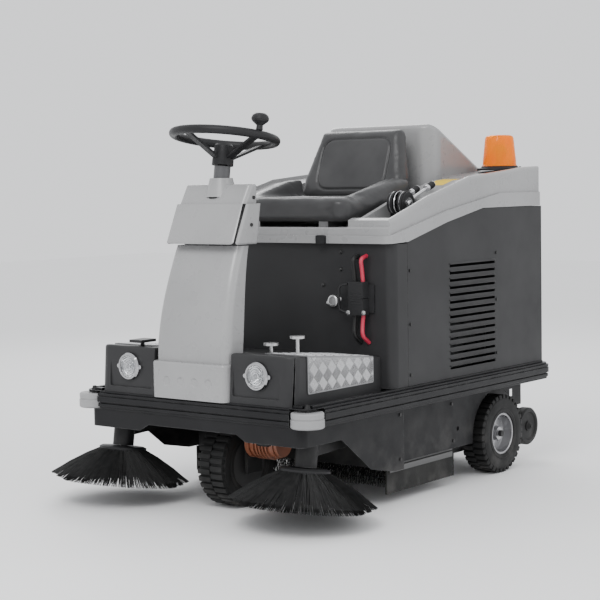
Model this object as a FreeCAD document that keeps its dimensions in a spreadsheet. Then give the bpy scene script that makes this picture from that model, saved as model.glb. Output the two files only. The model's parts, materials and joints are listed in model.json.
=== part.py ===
import FreeCAD, Part
import math
import os
import Sketcher

# A battery-electric ride-on sweeper, in millimetres.
# +Z is up, the front of the machine faces -Y and its left side is +X.
# The origin is on the floor, under the middle of the machine.

SIZES = {
    # bumper rail round the chassis, and the deck plate inside it
    "lip_half_width": 430, "lip_front": -620, "lip_rear": 695, "lip_corner": 40, "lip_width": 36,
    "lip_bottom": 281, "lip_low_bulge": 288, "lip_groove": 297, "lip_groove_top": 318,
    "lip_ridge": 328, "lip_top": 340, "lip_groove_depth": 7,
    "deck_top": 332, "deck_thickness": 6, "deck_gap": 2,
    # corner rollers
    "roller_x": 400, "roller_y": -590, "roller_z": 303, "roller_radius": 46, "roller_height": 43,
    "roller_bolt_radius": 6, "roller_notch_gap": 4, "head_way_radius": 14,
    # skirts
    "front_skirt_half_width": 398, "front_skirt_front": -610, "skirt_corner": 22, "skirt_wall": 3,
    "front_skirt_rear": -134, "front_skirt_low": 228, "front_skirt_raised": 247,
    "front_raised_half_width": 165, "front_low_half_width": 200, "skirt_notch_front": -436,
    "skirt_slope_y": -297, "skirt_slope_z": 124, "skirt_low_y": -184, "skirt_low_z": 101,
    "side_skirt_face": 362, "side_skirt_rear": 600, "side_skirt_low": 112, "side_skirt_post_low": 200,
    "arch_gap": 17,
    # side flaps and their clamping strips
    "flap_front": -180, "flap_rear": 180, "flap_low": 30, "flap_top": 107, "flap_thickness": 6,
    "strip_height": 16, "strip_thickness": 3, "strip_inset": 12,
    # foot platform with its two lamp pods
    "pod_half_width": 360, "pod_front_low": -608, "pod_front_top": -598, "pod_top": 471,
    "platform_rear": -192, "platform_rear_top": 432, "platform_wall": 4, "pod_corner": 32,
    "pod_edge": 8, "platform_notch_half_width": 144, "platform_notch_rear": -496,
    "pod_recess_in": 152, "pod_recess_out": 318, "pod_recess_low": 352, "pod_recess_depth": 4,
    # checker plates on the platform
    "tread_front": -538, "tread_rear": -232, "tread_inner": 214, "tread_low": 363, "tread_thickness": 3,
    # lamps
    "lamp_x": 240, "lamp_z": 412, "lamp_radius": 40, "lamp_bowl_radius": 34, "lamp_depth": 34,
    "lamp_stand_out": 4, "lens_thickness": 4, "lamp_ear": 6,
    # steering column
    "apron_half_low": 141, "apron_half_ridge": 136, "apron_half_top": 123, "apron_corner": 24,
    "apron_wall": 4, "apron_ridge_z": 437, "apron_ridge_step": 9, "apron_bottom": 333, "apron_top": 762,
    "apron_front_low": -623, "apron_front_ridge": -616, "apron_front_mid": -584, "apron_front_high": -558,
    "apron_front_top": -529, "apron_mid_z": 610, "apron_high_z": 692, "apron_back_low": -545,
    "apron_back_mid": -519, "apron_back_high": -505, "apron_back_top": -490,
    "head_half_low": 133, "head_half_high": 126, "head_bottom": 765, "head_seam": 879, "head_top": 934,
    "head_front_low": -565, "head_front_seam": -513, "head_front_top": -481, "head_rear_low": -458,
    "head_rear_seam": -440, "head_rear_top": -438, "head_corner": 20, "head_rear_corner": 9,
    "head_wall": 4, "head_inset": 6,
    "head_edge": 7, "boss_radius": 46, "boss_top_radius": 33, "boss_top": 952,
    "column_lean": 8.7, "tube_radius": 23.5, "tube_bore": 13.05, "tube_length": 640, "tube_top_z": 956,
    "tube_top_y": -456,
    # steering wheel
    "shaft_radius": 13, "shaft_reach": 220, "hub_radius": 31, "hub_top_radius": 27, "hub_rise": 32,
    "hub_height": 62, "rim_rise": 113, "rim_radius": 147.5, "rim_tube": 12.5, "spoke_width": 22,
    "spoke_thickness": 8, "knob_radius": 25, "knob_height": 46, "knob_angle": -9,
    "spoke_turn": -100, "spoke_step": 90,
    # front wheel, fork and drive motor
    "front_wheel_y": -412, "wheel_radius": 125, "front_wheel_width": 100, "front_rim_radius": 70,
    "axle_radius": 8, "fit_gap": 0.05, "fork_gap": 8, "fork_plate": 8, "fork_half_depth": 34,
    "fork_crown_z": 268, "stem_radius": 25, "stem_top": 352, "boss_ring_radius": 44,
    "motor_radius": 45, "motor_z": 192, "motor_reach": 176,
    # rear wheels
    "rear_wheel_y": 442, "rear_wheel_outer": 390, "rear_wheel_width": 85, "rear_rim_radius": 64,
    "rear_axle_radius": 10, "rail_x": 296, "rail_thickness": 4, "rail_low": 88, "rail_front": 166,
    "rail_rear": 634,
    # side brushes: hub place, how far the raised brush leans back, and its arm
    "brush_x": 345, "brush_y": -532, "brush_z": 160, "brush_lean": 9, "brush_disc_radius": 70,
    "brush_disc_thickness": 14, "brush_tip_radius": 205, "brush_drop": 88, "bristle_root_radius": 58,
    "brush_motor_radius": 31, "brush_motor_height": 66, "spindle_radius": 8, "spindle_length": 24,
    "arm_pivot_y": -240, "arm_pivot_z": 215, "arm_width": 24, "arm_height": 30, "arm_pin_radius": 7,
    "cross_member_y": -215, "pivot_ear": 5, "pivot_ear_gap": 1,
    # main brush
    "main_brush_y": -20, "main_brush_z": 143, "main_brush_radius": 128,
    "main_brush_half": 318, "main_axle_radius": 9, "main_arm_y": 118, "main_arm_z": 196,
    "main_arm_x": 328, "main_arm_thickness": 6, "housing_half": 350,
    "housing_front": -186, "housing_rear": 158, "housing_low": 104, "housing_top": 318, "housing_wall": 4,
    "intake_low": 205,
    # hopper
    "hopper_half": 288, "hopper_front": 176, "hopper_rear": 645, "hopper_low": 72, "hopper_top": 274,
    "hopper_wall": 4, "hopper_sill": 108, "hopper_wheel_x": 330, "hopper_wheel_y": 685.3,
    "hopper_wheel_z": 113, "hopper_wheel_radius": 62, "hopper_wheel_width": 28,
    "hopper_axle_radius": 6, "hopper_arm": 5, "grip_half": 110, "grip_radius": 9, "grip_out": 45,
    "grip_z": 215,
    # body panels
    "body_half_width": 405, "body_front": -190, "body_seam": -116, "body_rear": 665, "body_wall": 3,
    "body_corner": 26, "body_bottom": 340.5, "panel_gap": 1.5, "louvre_front": 110, "louvre_rear": 370,
    "louvre_low": 366, "louvre_pitch": 22, "louvre_slot": 9, "louvre_count": 15,
    # upper shell
    "shell_half": 408, "shell_inset": 7, "shell_front": -206, "shell_rear": 671, "shell_wall": 5,
    "edge_front_y": -114, "edge_mid_y": 98, "edge_back_y": 299, "shell_low_front": 757,
    "edge_front_z": 760, "edge_mid_z": 811, "edge_back_z": 848, "ledge_front": 779, "ledge_mid": 845,
    "ledge_back_y": 400, "ledge_back": 892, "deck_floor": 803, "console_front": -192,
    "console_rise_z": 824, "crest_mid_y": 19, "crest_mid_z": 890, "crest_high_y": 250,
    "crest_high_z": 946, "crest_top_y": 575, "crest_top_z": 973, "crest_rear_z": 976,
    "well_half": 252, "well_behind": 60, "hump_front": 312, "hump_half": 212, "hump_top": 1113,
    "hump_flat_rear": 340, "hinge_pin_radius": 5, "hinge_pin_y": 677, "hinge_pin_z": 850,
    "hump_rear_top": 943, "hump_corner": 55, "rim_width": 17, "console_dip": 12, "lever_pocket_front": -150,
    "lever_pocket_rear": 34, "lever_pocket_floor": 826, "shell_edge": 14, "shell_corner": 24,
    # seat and its rails
    "seat_half": 232, "seat_front": -184, "seat_rear": 180, "seat_low": 826, "seat_top": 884,
    "bolster_rise": 60, "seat_back_y": 150, "seat_back_top_y": 228, "seat_back_top_z": 1104,
    "seat_back_half": 196, "seat_back_half_top": 152, "seat_back_thickness": 50, "rail_half_gap": 130,
    "rail_width": 34, "rail_height": 18, "rail_gap": 0.4, "seat_rail_front": -150, "seat_rail_rear": 150,
    # warning lamp
    "beacon_x": 300, "beacon_y": 580, "beacon_z": 964, "beacon_base_radius": 73, "beacon_base_height": 9,
    "beacon_lens_radius": 57, "beacon_lens_height": 114,
    # levers
    "lever_y": -21, "lever_z": 870, "lever_disc_radius": 35, "lever_disc_thickness": 13,
    "side_lever_x": 303, "main_lever_x": 337, "lever_rod_radius": 5, "side_rod_length": 122,
    "main_rod_length": 157, "lever_slope": 20,
    "lever_grip_radius": 10, "lever_grip_length": 40, "lever_pin_radius": 6,
    # pedals
    "accelerator_x": 200, "accelerator_y": -492, "brake_x": 270, "brake_y": -462, "pedal_pad_radius": 21,
    "pedal_pad_thickness": 7, "pedal_stalk_radius": 5, "pedal_pivot_z": 424, "accelerator_pad_z": 492,
    "brake_pad_z": 512, "treadle_x": -228, "treadle_y": -560, "treadle_half": 24, "treadle_length": 62,
    "treadle_z": 488, "treadle_thickness": 8,
    # small parts
    "latch_x": 166, "latch_half": 16, "latch_height": 24, "latch_thickness": 9, "latch_pin_radius": 3,
    "latch_z": 768,
    "connector_x": 298, "connector_z": 600,
    "connector_half": 26, "connector_height": 96, "connector_depth": 34, "bracket_half": 44,
    "cable_radius": 6, "screw_radius": 5, "screw_height": 3,
    "battery_width": 258, "battery_depth": 180, "battery_height": 270, "battery_gap": 6,
    "battery_front": -172, "filter_half": 232, "filter_front": 236, "filter_rear": 596,
    "filter_height": 138, "air_way_inset": 24,
}

doc = FreeCAD.newDocument("RideOnSweeper")
sheet = doc.addObject("Spreadsheet::Sheet", "Sizes")
for row, (alias, number) in enumerate(SIZES.items(), start=1):
    sheet.set("A%d" % row, alias)
    sheet.set("B%d" % row, str(number))
    sheet.setAlias("B%d" % row, alias)
doc.recompute()


class Size:
    """A number that also carries the spreadsheet expression it comes from."""

    def __init__(self, value, text):
        self.value = float(value)
        self.text = text

    def __add__(self, other):
        other = sized(other)
        return Size(self.value + other.value, "(%s + %s)" % (self.text, other.text))

    def __radd__(self, other):
        return sized(other) + self

    def __sub__(self, other):
        other = sized(other)
        return Size(self.value - other.value, "(%s - %s)" % (self.text, other.text))

    def __rsub__(self, other):
        return sized(other) - self

    def __mul__(self, factor):
        factor = sized(factor)
        return Size(self.value * factor.value, "(%s * %s)" % (self.text, factor.text))

    def __rmul__(self, factor):
        return self * factor

    def __truediv__(self, other):
        other = sized(other)
        return Size(self.value / other.value, "(%s / %s)" % (self.text, other.text))

    def __neg__(self):
        return Size(-self.value, "(0 - %s)" % self.text)


def sized(number):
    """Any number as a Size."""
    if isinstance(number, Size):
        return number
    return Size(number, "(%.9g)" % number)


class Drawing:
    """Reads the sheet: D.wheel_radius is the size with that alias."""

    def __getattr__(self, alias):
        return Size(sheet.get(alias), "Sizes.%s" % alias)


D = Drawing()
NODES = []
VECTOR = FreeCAD.Vector
UP = VECTOR(0, 0, 1)


def plain(label):
    """A valid internal name for a helper object."""
    return "".join(part.capitalize() for part in label.split("_"))


def keep(thing, label):
    """Name a finished sub-part and put it on the list of parts."""
    thing.Label = label
    NODES.append(thing)
    return thing


def bind(thing, prop, amount):
    """Tie a property to the sheet."""
    thing.setExpression(prop, sized(amount).text)


def place(thing, spot, direction=None, angle=0):
    """Move a thing to spot, turned about direction by angle, with its place tied to the sheet."""
    spot = [sized(one) for one in spot]
    turn = FreeCAD.Rotation(direction, angle) if direction is not None else FreeCAD.Rotation()
    thing.Placement = FreeCAD.Placement(VECTOR(*[one.value for one in spot]), turn)
    for axis, one in zip("xyz", spot):
        bind(thing, "Placement.Base.%s" % axis, one)
    return thing


# ---------------------------------------------------------------- primitives

def box(name, low, high):
    """A box between two corners."""
    thing = doc.addObject("Part::Box", name)
    for prop, start, end in zip(("Length", "Width", "Height"), low, high):
        bind(thing, prop, sized(end) - sized(start))
    return place(thing, low)


TURNS = {"X": (VECTOR(0, 1, 0), 90), "Y": (VECTOR(1, 0, 0), -90), "Z": (UP, 0)}


def rod(name, radius, start, length, axis="Z"):
    """A cylinder that starts at a point and runs along an axis."""
    thing = doc.addObject("Part::Cylinder", name)
    bind(thing, "Radius", radius)
    bind(thing, "Height", length)
    return place(thing, start, *TURNS[axis])


def cone(name, low_radius, high_radius, start, length, axis="Z"):
    """A cone that starts at a point and runs along an axis."""
    thing = doc.addObject("Part::Cone", name)
    bind(thing, "Radius1", low_radius)
    bind(thing, "Radius2", high_radius)
    bind(thing, "Height", length)
    return place(thing, start, *TURNS[axis])


def fuse(name, things):
    """One solid from several that overlap."""
    thing = doc.addObject("Part::MultiFuse", name)
    thing.Shapes = things
    thing.Refine = True
    return thing


def cut(name, base, tools):
    """The base less its tools."""
    thing = doc.addObject("Part::Cut", name)
    thing.Base = base
    thing.Tool = tools[0] if len(tools) == 1 else fuse(name + "Tools", tools)
    thing.Refine = True
    return thing


def group(name, things):
    """Separate solids kept as one part."""
    thing = doc.addObject("Part::Compound", name)
    thing.Links = things
    return thing


def mirrored(name, thing):
    """The same piece on the other side of the machine."""
    twin = doc.addObject("Part::Mirroring", name)
    twin.Source = thing
    twin.Normal = VECTOR(1, 0, 0)
    return twin


def rounded(name, base, radius, wanted):
    """Fillet the edges that the test picks."""
    doc.recompute()
    picked = [number for number, edge in enumerate(base.Shape.Edges, start=1) if wanted(edge)]
    thing = doc.addObject("Part::Fillet", name)
    thing.Base = base
    thing.Edges = [(number, sized(radius).value, sized(radius).value) for number in picked]
    return thing


def runs_along(edge, axis):
    """True for a straight edge along a unit vector."""
    if edge.Curve.TypeId != "Part::GeomLine":
        return False
    direction = edge.Vertexes[1].Point.sub(edge.Vertexes[0].Point)
    return direction.Length > 0 and abs(direction.normalize().dot(axis)) > 0.999


# ---------------------------------------------------------------- sketches

def corner_points(corners, index):
    """Where the outline reaches and leaves a corner, and its arc's centre."""
    here = VECTOR(corners[index][0].value, corners[index][1].value, 0)
    if len(corners[index]) == 2:
        return here, here, None
    before = corners[index - 1]
    after = corners[(index + 1) % len(corners)]
    back = VECTOR(before[0].value, before[1].value, 0).sub(here).normalize()
    ahead = VECTOR(after[0].value, after[1].value, 0).sub(here).normalize()
    half = back.getAngle(ahead) / 2
    radius = corners[index][2].value
    reach = radius / math.tan(half)
    middle = here.add(back.add(ahead).normalize().multiply(radius / math.sin(half)))
    return here.add(back.multiply(reach)), here.add(ahead.multiply(reach)), middle


def pin_point(sketch, geometry, vertex, corner):
    """Tie one sketch point to its two coordinates."""
    for kind, amount in (("DistanceX", corner[0]), ("DistanceY", corner[1])):
        number = sketch.addConstraint(Sketcher.Constraint(kind, -1, 1, geometry, vertex, amount.value))
        sketch.setExpression("Constraints[%d]" % number, amount.text)


def draw_corner(sketch, corners, index, ends):
    """A rounded corner: an arc tangent to both sides, and the sharp corner as a tied point."""
    arrive, leave, middle = ends
    count = len(corners)
    turn = arrive.sub(middle).cross(leave.sub(middle)).z
    first, last = (arrive, leave) if turn > 0 else (leave, arrive)
    angles = [math.atan2(one.y - middle.y, one.x - middle.x) for one in (first, last)]
    if angles[1] < angles[0]:
        angles[1] += 2 * math.pi
    circle = Part.Circle(middle, UP, corners[index][2].value)
    arc = sketch.addGeometry(Part.ArcOfCircle(circle, angles[0], angles[1]), False)
    before, after = (index - 1) % count, index
    arrive_end, leave_end = (1, 2) if turn > 0 else (2, 1)
    sketch.addConstraint(Sketcher.Constraint("Tangent", before, 2, arc, arrive_end))
    sketch.addConstraint(Sketcher.Constraint("Tangent", arc, leave_end, after, 1))
    number = sketch.addConstraint(Sketcher.Constraint("Radius", arc, corners[index][2].value))
    sketch.setExpression("Constraints[%d]" % number, corners[index][2].text)
    here = VECTOR(corners[index][0].value, corners[index][1].value, 0)
    point = sketch.addGeometry(Part.Point(here), True)
    sketch.addConstraint(Sketcher.Constraint("PointOnObject", point, 1, before))
    sketch.addConstraint(Sketcher.Constraint("PointOnObject", point, 1, after))
    pin_point(sketch, point, 1, corners[index])


def outline(sketch, corners):
    """A closed outline of straight sides; a corner is (x, y) or (x, y, radius)."""
    corners = [tuple(sized(one) for one in corner) for corner in corners]
    count = len(corners)
    ends = [corner_points(corners, index) for index in range(count)]
    for index in range(count):
        line = Part.LineSegment(ends[index][1], ends[(index + 1) % count][0])
        sketch.addGeometry(line, False)
    for index, corner in enumerate(corners):
        if len(corner) == 2:
            sketch.addConstraint(Sketcher.Constraint("Coincident", (index - 1) % count, 2, index, 1))
            pin_point(sketch, index, 1, corner)
        else:
            draw_corner(sketch, corners, index, ends[index])


def sketch_on(body, role, level, corners, direction=1):
    """A sketch on one of the body's own planes, moved to a level along that plane's axis."""
    sketch = body.newObject("Sketcher::SketchObject", body.Name + "Sketch")
    support = [face for face in body.Origin.OriginFeatures if face.Role == role][0]
    sketch.AttachmentSupport = [(support, "")]
    sketch.MapMode = "FlatFace"
    bind(sketch, "AttachmentOffset.Base.z", sized(level) * direction)
    outline(sketch, corners)
    return sketch


NORMAL_SIGN = {"XY_Plane": 1, "YZ_Plane": 1, "XZ_Plane": -1}


def new_body(label):
    """An empty body."""
    return doc.addObject("PartDesign::Body", plain(label))


def pad(body, role, corners, low, high):
    """Fill an outline between two levels of the axis that crosses its plane."""
    sign = NORMAL_SIGN[role]
    base = low if sign > 0 else high
    sketch = sketch_on(body, role, base, corners, sign)
    feature = body.newObject("PartDesign::Pad", body.Name + "Pad")
    feature.Profile = sketch
    bind(feature, "Length", sized(high) - sized(low))
    return feature


def pocket(body, role, corners, low, high):
    """Cut an outline away between two levels, and check that it cut something."""
    doc.recompute()
    before = body.Shape.Volume
    sign = NORMAL_SIGN[role]
    base = high if sign > 0 else low
    sketch = sketch_on(body, role, base, corners, sign)
    feature = body.newObject("PartDesign::Pocket", body.Name + "Pocket")
    feature.Profile = sketch
    bind(feature, "Length", sized(high) - sized(low))
    doc.recompute()
    if not body.Shape.Volume < before:
        raise RuntimeError("a pocket in %s cuts nothing" % body.Name)
    return feature


def soften(body, radius, wanted):
    """Fillet edges of the body's last feature."""
    doc.recompute()
    base = body.Tip
    names = ["Edge%d" % number for number, edge in enumerate(base.Shape.Edges, start=1) if wanted(edge)]
    if not names:
        raise RuntimeError("a fillet in %s finds no edge" % body.Name)
    feature = body.newObject("PartDesign::Fillet", body.Name + "Fillet")
    feature.Base = (base, names)
    bind(feature, "Radius", radius)
    doc.recompute()
    if "Invalid" in feature.State:
        raise RuntimeError("a fillet in %s fails on %s" % (body.Name, names))
    return feature


def turned(name, corners, spot, axis="Z"):
    """A turned piece: (radius, height) corners revolved about the axis through a spot."""
    body = new_body(name)
    sketch = sketch_on(body, "XZ_Plane", 0, corners)
    feature = body.newObject("PartDesign::Revolution", body.Name + "Revolution")
    feature.Profile = sketch
    feature.ReferenceAxis = (sketch, ["V_Axis"])
    feature.Angle = 360
    return place(body, spot, *TURNS[axis])


def rectangle(low_x, low_y, high_x, high_y, radius=None):
    """The corners of a rectangle, rounded if a radius is given."""
    tail = () if radius is None else (radius,)
    return [(low_x, low_y) + tail, (high_x, low_y) + tail, (high_x, high_y) + tail, (low_x, high_y) + tail]


# ---------------------------------------------------------------- chassis

def chassis_frame():
    """Deck plate, inner rails, cross member, stub axles, fork boss and brush pivots, welded together."""
    inner = D.lip_half_width - D.lip_width - D.deck_gap
    front = D.lip_front + D.lip_width + D.deck_gap
    rear = D.lip_rear - D.lip_width - D.deck_gap
    deck_low = D.deck_top - D.deck_thickness
    deck = box("DeckPlate", (-inner, front, deck_low), (inner, rear, D.deck_top))
    way = D.filter_half - D.air_way_inset
    air_way = box("AirWay", (-way, D.filter_front + D.air_way_inset, deck_low - 1),
                  (way, D.filter_rear - D.air_way_inset, D.deck_top + 1))
    stem_bore = rod("StemBore", D.stem_radius + D.fit_gap, (0, D.front_wheel_y, D.fork_crown_z), 200)
    pieces = [deck, rod("ForkBoss", D.boss_ring_radius, (0, D.front_wheel_y, deck_low - 24), 42)]
    cross_low = D.arm_pivot_z - 20
    pieces.append(box("CrossMember", (-D.housing_half, D.cross_member_y, cross_low),
                      (D.housing_half, D.cross_member_y + 6, deck_low)))
    for side in (-1, 1):
        tag = "L" if side > 0 else "R"
        face = D.rail_x * side
        low_x, high_x = (face, face + D.rail_thickness) if side > 0 else (face - D.rail_thickness, face)
        pieces.append(box("Rail" + tag, (low_x, D.rail_front, D.rail_low), (high_x, D.rail_rear, deck_low)))
        axle_start = (D.rail_x if side > 0 else -D.rear_wheel_outer + 4, D.rear_wheel_y, D.wheel_radius)
        pieces.append(rod("StubAxle" + tag, D.rear_axle_radius, axle_start,
                          D.rear_wheel_outer - 4 - D.rail_x, "X"))
        flange_x = D.rail_x + D.rail_thickness if side > 0 else -D.rear_wheel_outer + D.rear_wheel_width + 1
        pieces.append(rod("AxleFlange" + tag, 26, (flange_x, D.rear_wheel_y, D.wheel_radius),
                          D.rear_wheel_outer - D.rear_wheel_width - 1 - D.rail_x - D.rail_thickness, "X"))
        pieces += brush_pivot(tag, side)
        pieces += main_arm_pivot(tag, side)
        pieces += roller_mount(tag, side)
    whole = fuse("FramePieces", pieces)
    keep(cut("ChassisFrame", whole, [air_way, stem_bore]), "chassis_frame")


def brush_pivot(tag, side):
    """Two ears and a pin that carry one side brush arm."""
    made = []
    reach = D.arm_width / 2 + D.pivot_ear_gap
    for end in (-1, 1):
        middle = D.brush_x * side + (reach + D.pivot_ear / 2) * end
        made.append(box("Ear%s%d" % (tag, end + 1),
                        (middle - D.pivot_ear / 2, D.arm_pivot_y - 14, D.arm_pivot_z - 16),
                        (middle + D.pivot_ear / 2, D.cross_member_y + 1, D.arm_pivot_z + 40)))
    start = D.brush_x * side - reach - D.pivot_ear
    made.append(rod("Pin" + tag, D.arm_pin_radius, (start, D.arm_pivot_y, D.arm_pivot_z),
                    reach * 2 + D.pivot_ear * 2, "X"))
    return made


def main_arm_pivot(tag, side):
    """A pin on the housing side of the rail for the main brush arms, with its hanger."""
    outer = D.housing_half + D.main_arm_thickness
    start = D.main_arm_x if side > 0 else -outer
    hanger_x = D.main_arm_x + D.main_arm_thickness + 1
    low_x, high_x = (hanger_x, outer) if side > 0 else (-outer, -hanger_x)
    return [
        rod("ArmPin" + tag, D.main_axle_radius, (start, D.main_arm_y, D.main_arm_z),
            outer - D.main_arm_x, "X"),
        box("Hanger" + tag, (low_x, D.main_arm_y - 16, D.main_arm_z - 16),
            (high_x, D.main_arm_y + 16, D.deck_top - D.deck_thickness)),
    ]


def roller_mount(tag, side):
    """The lug and bolt at a front corner that carry a bump roller."""
    top = D.deck_top
    lug = box("Lug" + tag, (D.roller_x * side - 12 - 12 * (side > 0), D.roller_y - 12,
                            top - D.deck_thickness),
              (D.roller_x * side + 12 + 12 * (side < 0), D.roller_y + 22, top))
    low = D.roller_z - D.roller_height / 2
    bolt = rod("RollerBolt" + tag, D.roller_bolt_radius, (D.roller_x * side, D.roller_y, low - 4),
               top - low + 10)
    head = cone("BoltHead" + tag, 10, 5, (D.roller_x * side, D.roller_y, top), 12)
    washer = rod("Washer" + tag, 11, (D.roller_x * side, D.roller_y, low - 4), 3)
    return [lug, bolt, head, washer]


def lip_outline(inset, corner):
    """The rail's rounded rectangle, moved in by an inset."""
    half = D.lip_half_width - inset
    return rectangle(-half, D.lip_front + inset, half, D.lip_rear - inset, corner)


def bumper_rail():
    """A moulded rail in layers: two bulges with a groove between, open inside, notched for the rollers."""
    layers = [
        ("Foot", D.lip_bottom, D.lip_low_bulge, sized(6)), ("Low", D.lip_low_bulge, D.lip_groove, sized(2)),
        ("Groove", D.lip_groove, D.lip_groove + 5, D.lip_groove_depth),
        ("Middle", D.lip_groove + 5, D.lip_groove_top, sized(0)),
        ("Line", D.lip_groove_top, D.lip_groove_top + 3, sized(3)),
        ("Ridge", D.lip_groove_top + 3, D.lip_ridge, sized(1)),
        ("Shoulder", D.lip_ridge, D.lip_ridge + 6, sized(8)), ("Top", D.lip_ridge + 6, D.lip_top, sized(20)),
    ]
    made = []
    for name, low, high, inset in layers:
        body = new_body("rail_" + name)
        pad(body, "XY_Plane", lip_outline(inset, D.lip_corner - inset), low, high)
        soften(body, 1.2, lambda edge: not runs_along(edge, UP))
        made.append(body)
    hollow = new_body("rail_hollow")
    pad(hollow, "XY_Plane", lip_outline(D.lip_width, 6), D.lip_bottom - 1, D.lip_top + 1)
    notches = [rod("Notch%d" % (side + 1), D.roller_radius + D.roller_notch_gap,
                   (D.roller_x * side, D.roller_y, D.lip_bottom - 1), D.deck_top - D.lip_bottom + 1.5)
               for side in (-1, 1)]
    notches += [rod("HeadWay%d" % (side + 1), D.head_way_radius,
                    (D.roller_x * side, D.roller_y, D.deck_top - 1), D.lip_top - D.deck_top + 2)
                for side in (-1, 1)]
    seat_z = D.deck_top - 0.5
    inside_front = D.lip_front + D.lip_width + 1
    platform_way = box("PlatformWay", (-D.pod_half_width - 0.5, D.pod_front_low - 0.5, seat_z),
                       (D.pod_half_width + 0.5, inside_front, D.lip_top + 1))
    apron_way = box("ApronWay", (-D.apron_half_low - 0.5, D.apron_front_low - 5, seat_z),
                    (D.apron_half_low + 0.5, inside_front, D.lip_top + 1))
    keep(cut("BumperRail", fuse("RailLayers", made), [hollow] + notches + [platform_way, apron_way]),
         "bumper_rail")


def roller(tag, side):
    """A grooved bump roller with a bore for its bolt."""
    half = D.roller_height / 2
    bore = D.roller_bolt_radius + D.fit_gap
    groove = D.roller_radius - 2.5
    corners = [(bore, -half), (D.roller_radius - 3, -half), (D.roller_radius, 3 - half),
               (D.roller_radius, sized(2)), (groove, sized(3.5)), (groove, sized(5)),
               (D.roller_radius - 1, sized(6.5)), (D.roller_radius - 1, half - 3),
               (D.roller_radius - 4, half), (bore, half)]
    keep(turned("roller_" + tag, corners, (D.roller_x * side, D.roller_y, D.roller_z)), "roller_" + tag)


def front_skirt():
    """Sheet wrapped round the front corners, notched over the brushes."""
    half = D.front_skirt_half_width
    wall = D.skirt_wall
    top = D.lip_bottom
    body = new_body("front_skirt")
    tail = D.front_skirt_rear
    pad(body, "XY_Plane", [(-half, tail), (-half, D.front_skirt_front, D.skirt_corner),
                           (half, D.front_skirt_front, D.skirt_corner), (half, tail)], 60, top)
    inner = half - wall
    front = D.front_skirt_front + wall
    pocket(body, "XY_Plane", [(-inner, tail + 1), (-inner, front, D.skirt_corner - wall),
                              (inner, front, D.skirt_corner - wall), (inner, tail + 1)], 59, top + 1)
    low = D.front_skirt_low
    pocket(body, "YZ_Plane", [(D.front_skirt_front - 1, 58), (D.front_skirt_front - 1, low),
                              (D.skirt_notch_front, low), (D.skirt_slope_y, D.skirt_slope_z),
                              (D.skirt_low_y, D.skirt_low_z), (tail + 1, D.skirt_low_z), (tail + 1, 58)],
           -half - 1, half + 1)
    pocket(body, "XZ_Plane", [(-D.front_low_half_width, low - 1), (D.front_low_half_width, low - 1),
                              (D.front_raised_half_width, D.front_skirt_raised, 12),
                              (-D.front_raised_half_width, D.front_skirt_raised, 12)],
           D.front_skirt_front - 1, D.front_skirt_front + 30)
    keep(body, "front_skirt")


def side_skirts():
    """A flat plate each side behind the front skirt, arched round the rear wheel."""
    face = D.side_skirt_face
    inner = face - D.skirt_wall
    plate = new_body("side_skirt")
    start = D.front_skirt_rear - 14
    pad(plate, "YZ_Plane", [(start, D.side_skirt_low), (D.rear_wheel_y, D.side_skirt_low),
                            (D.rear_wheel_y, D.side_skirt_post_low),
                            (D.side_skirt_rear, D.side_skirt_post_low), (D.side_skirt_rear, D.lip_bottom),
                            (start, D.lip_bottom)], inner, face)
    arch = rod("WheelArch", D.wheel_radius + D.arch_gap, (inner - 1, D.rear_wheel_y, D.wheel_radius),
               D.skirt_wall + 2, "X")
    slot = rod("SkirtSlot", 7, (inner - 1, D.rear_wheel_y - 228, 170), D.skirt_wall + 2, "X")
    window = box("SkirtWindow", (inner - 1, D.side_skirt_rear - 78, 232),
                 (face + 1, D.side_skirt_rear - 52, 256))
    left = cut("SkirtLeft", plate, [arch, slot, window])
    keep(group("SideSkirts", [left, mirrored("SkirtRight", left)]), "side_skirts")


def side_flaps():
    """Rubber flaps outside the side skirts, each clamped by a metal strip."""
    start = D.side_skirt_face
    flap = box("FlapLeft", (start, D.flap_front, D.flap_low), (start + D.flap_thickness, D.flap_rear,
                                                               D.flap_top))
    outer = start + D.flap_thickness
    strip = box("StripLeft", (outer, D.flap_front + D.strip_inset, D.flap_top - D.strip_height),
                (outer + D.strip_thickness, D.flap_rear - D.strip_inset, D.flap_top))
    backing = box("FlapBacking", (start - 3, D.flap_front + 46, D.flap_low + 20),
                  (start, D.flap_rear, D.side_skirt_low))
    keep(group("SideFlaps", [flap, mirrored("FlapRight", flap)]), "side_flaps")
    keep(group("FlapStrips", [strip, mirrored("StripRight", strip), backing,
                              mirrored("BackingRight", backing)]), "flap_strips")


# ---------------------------------------------------------------- foot platform

def platform_top(offset=0):
    """The platform's sloping top: its front and rear points, lowered by an offset."""
    return [(D.pod_front_top, D.pod_top - offset), (D.platform_rear, D.platform_rear_top - offset)]


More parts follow.
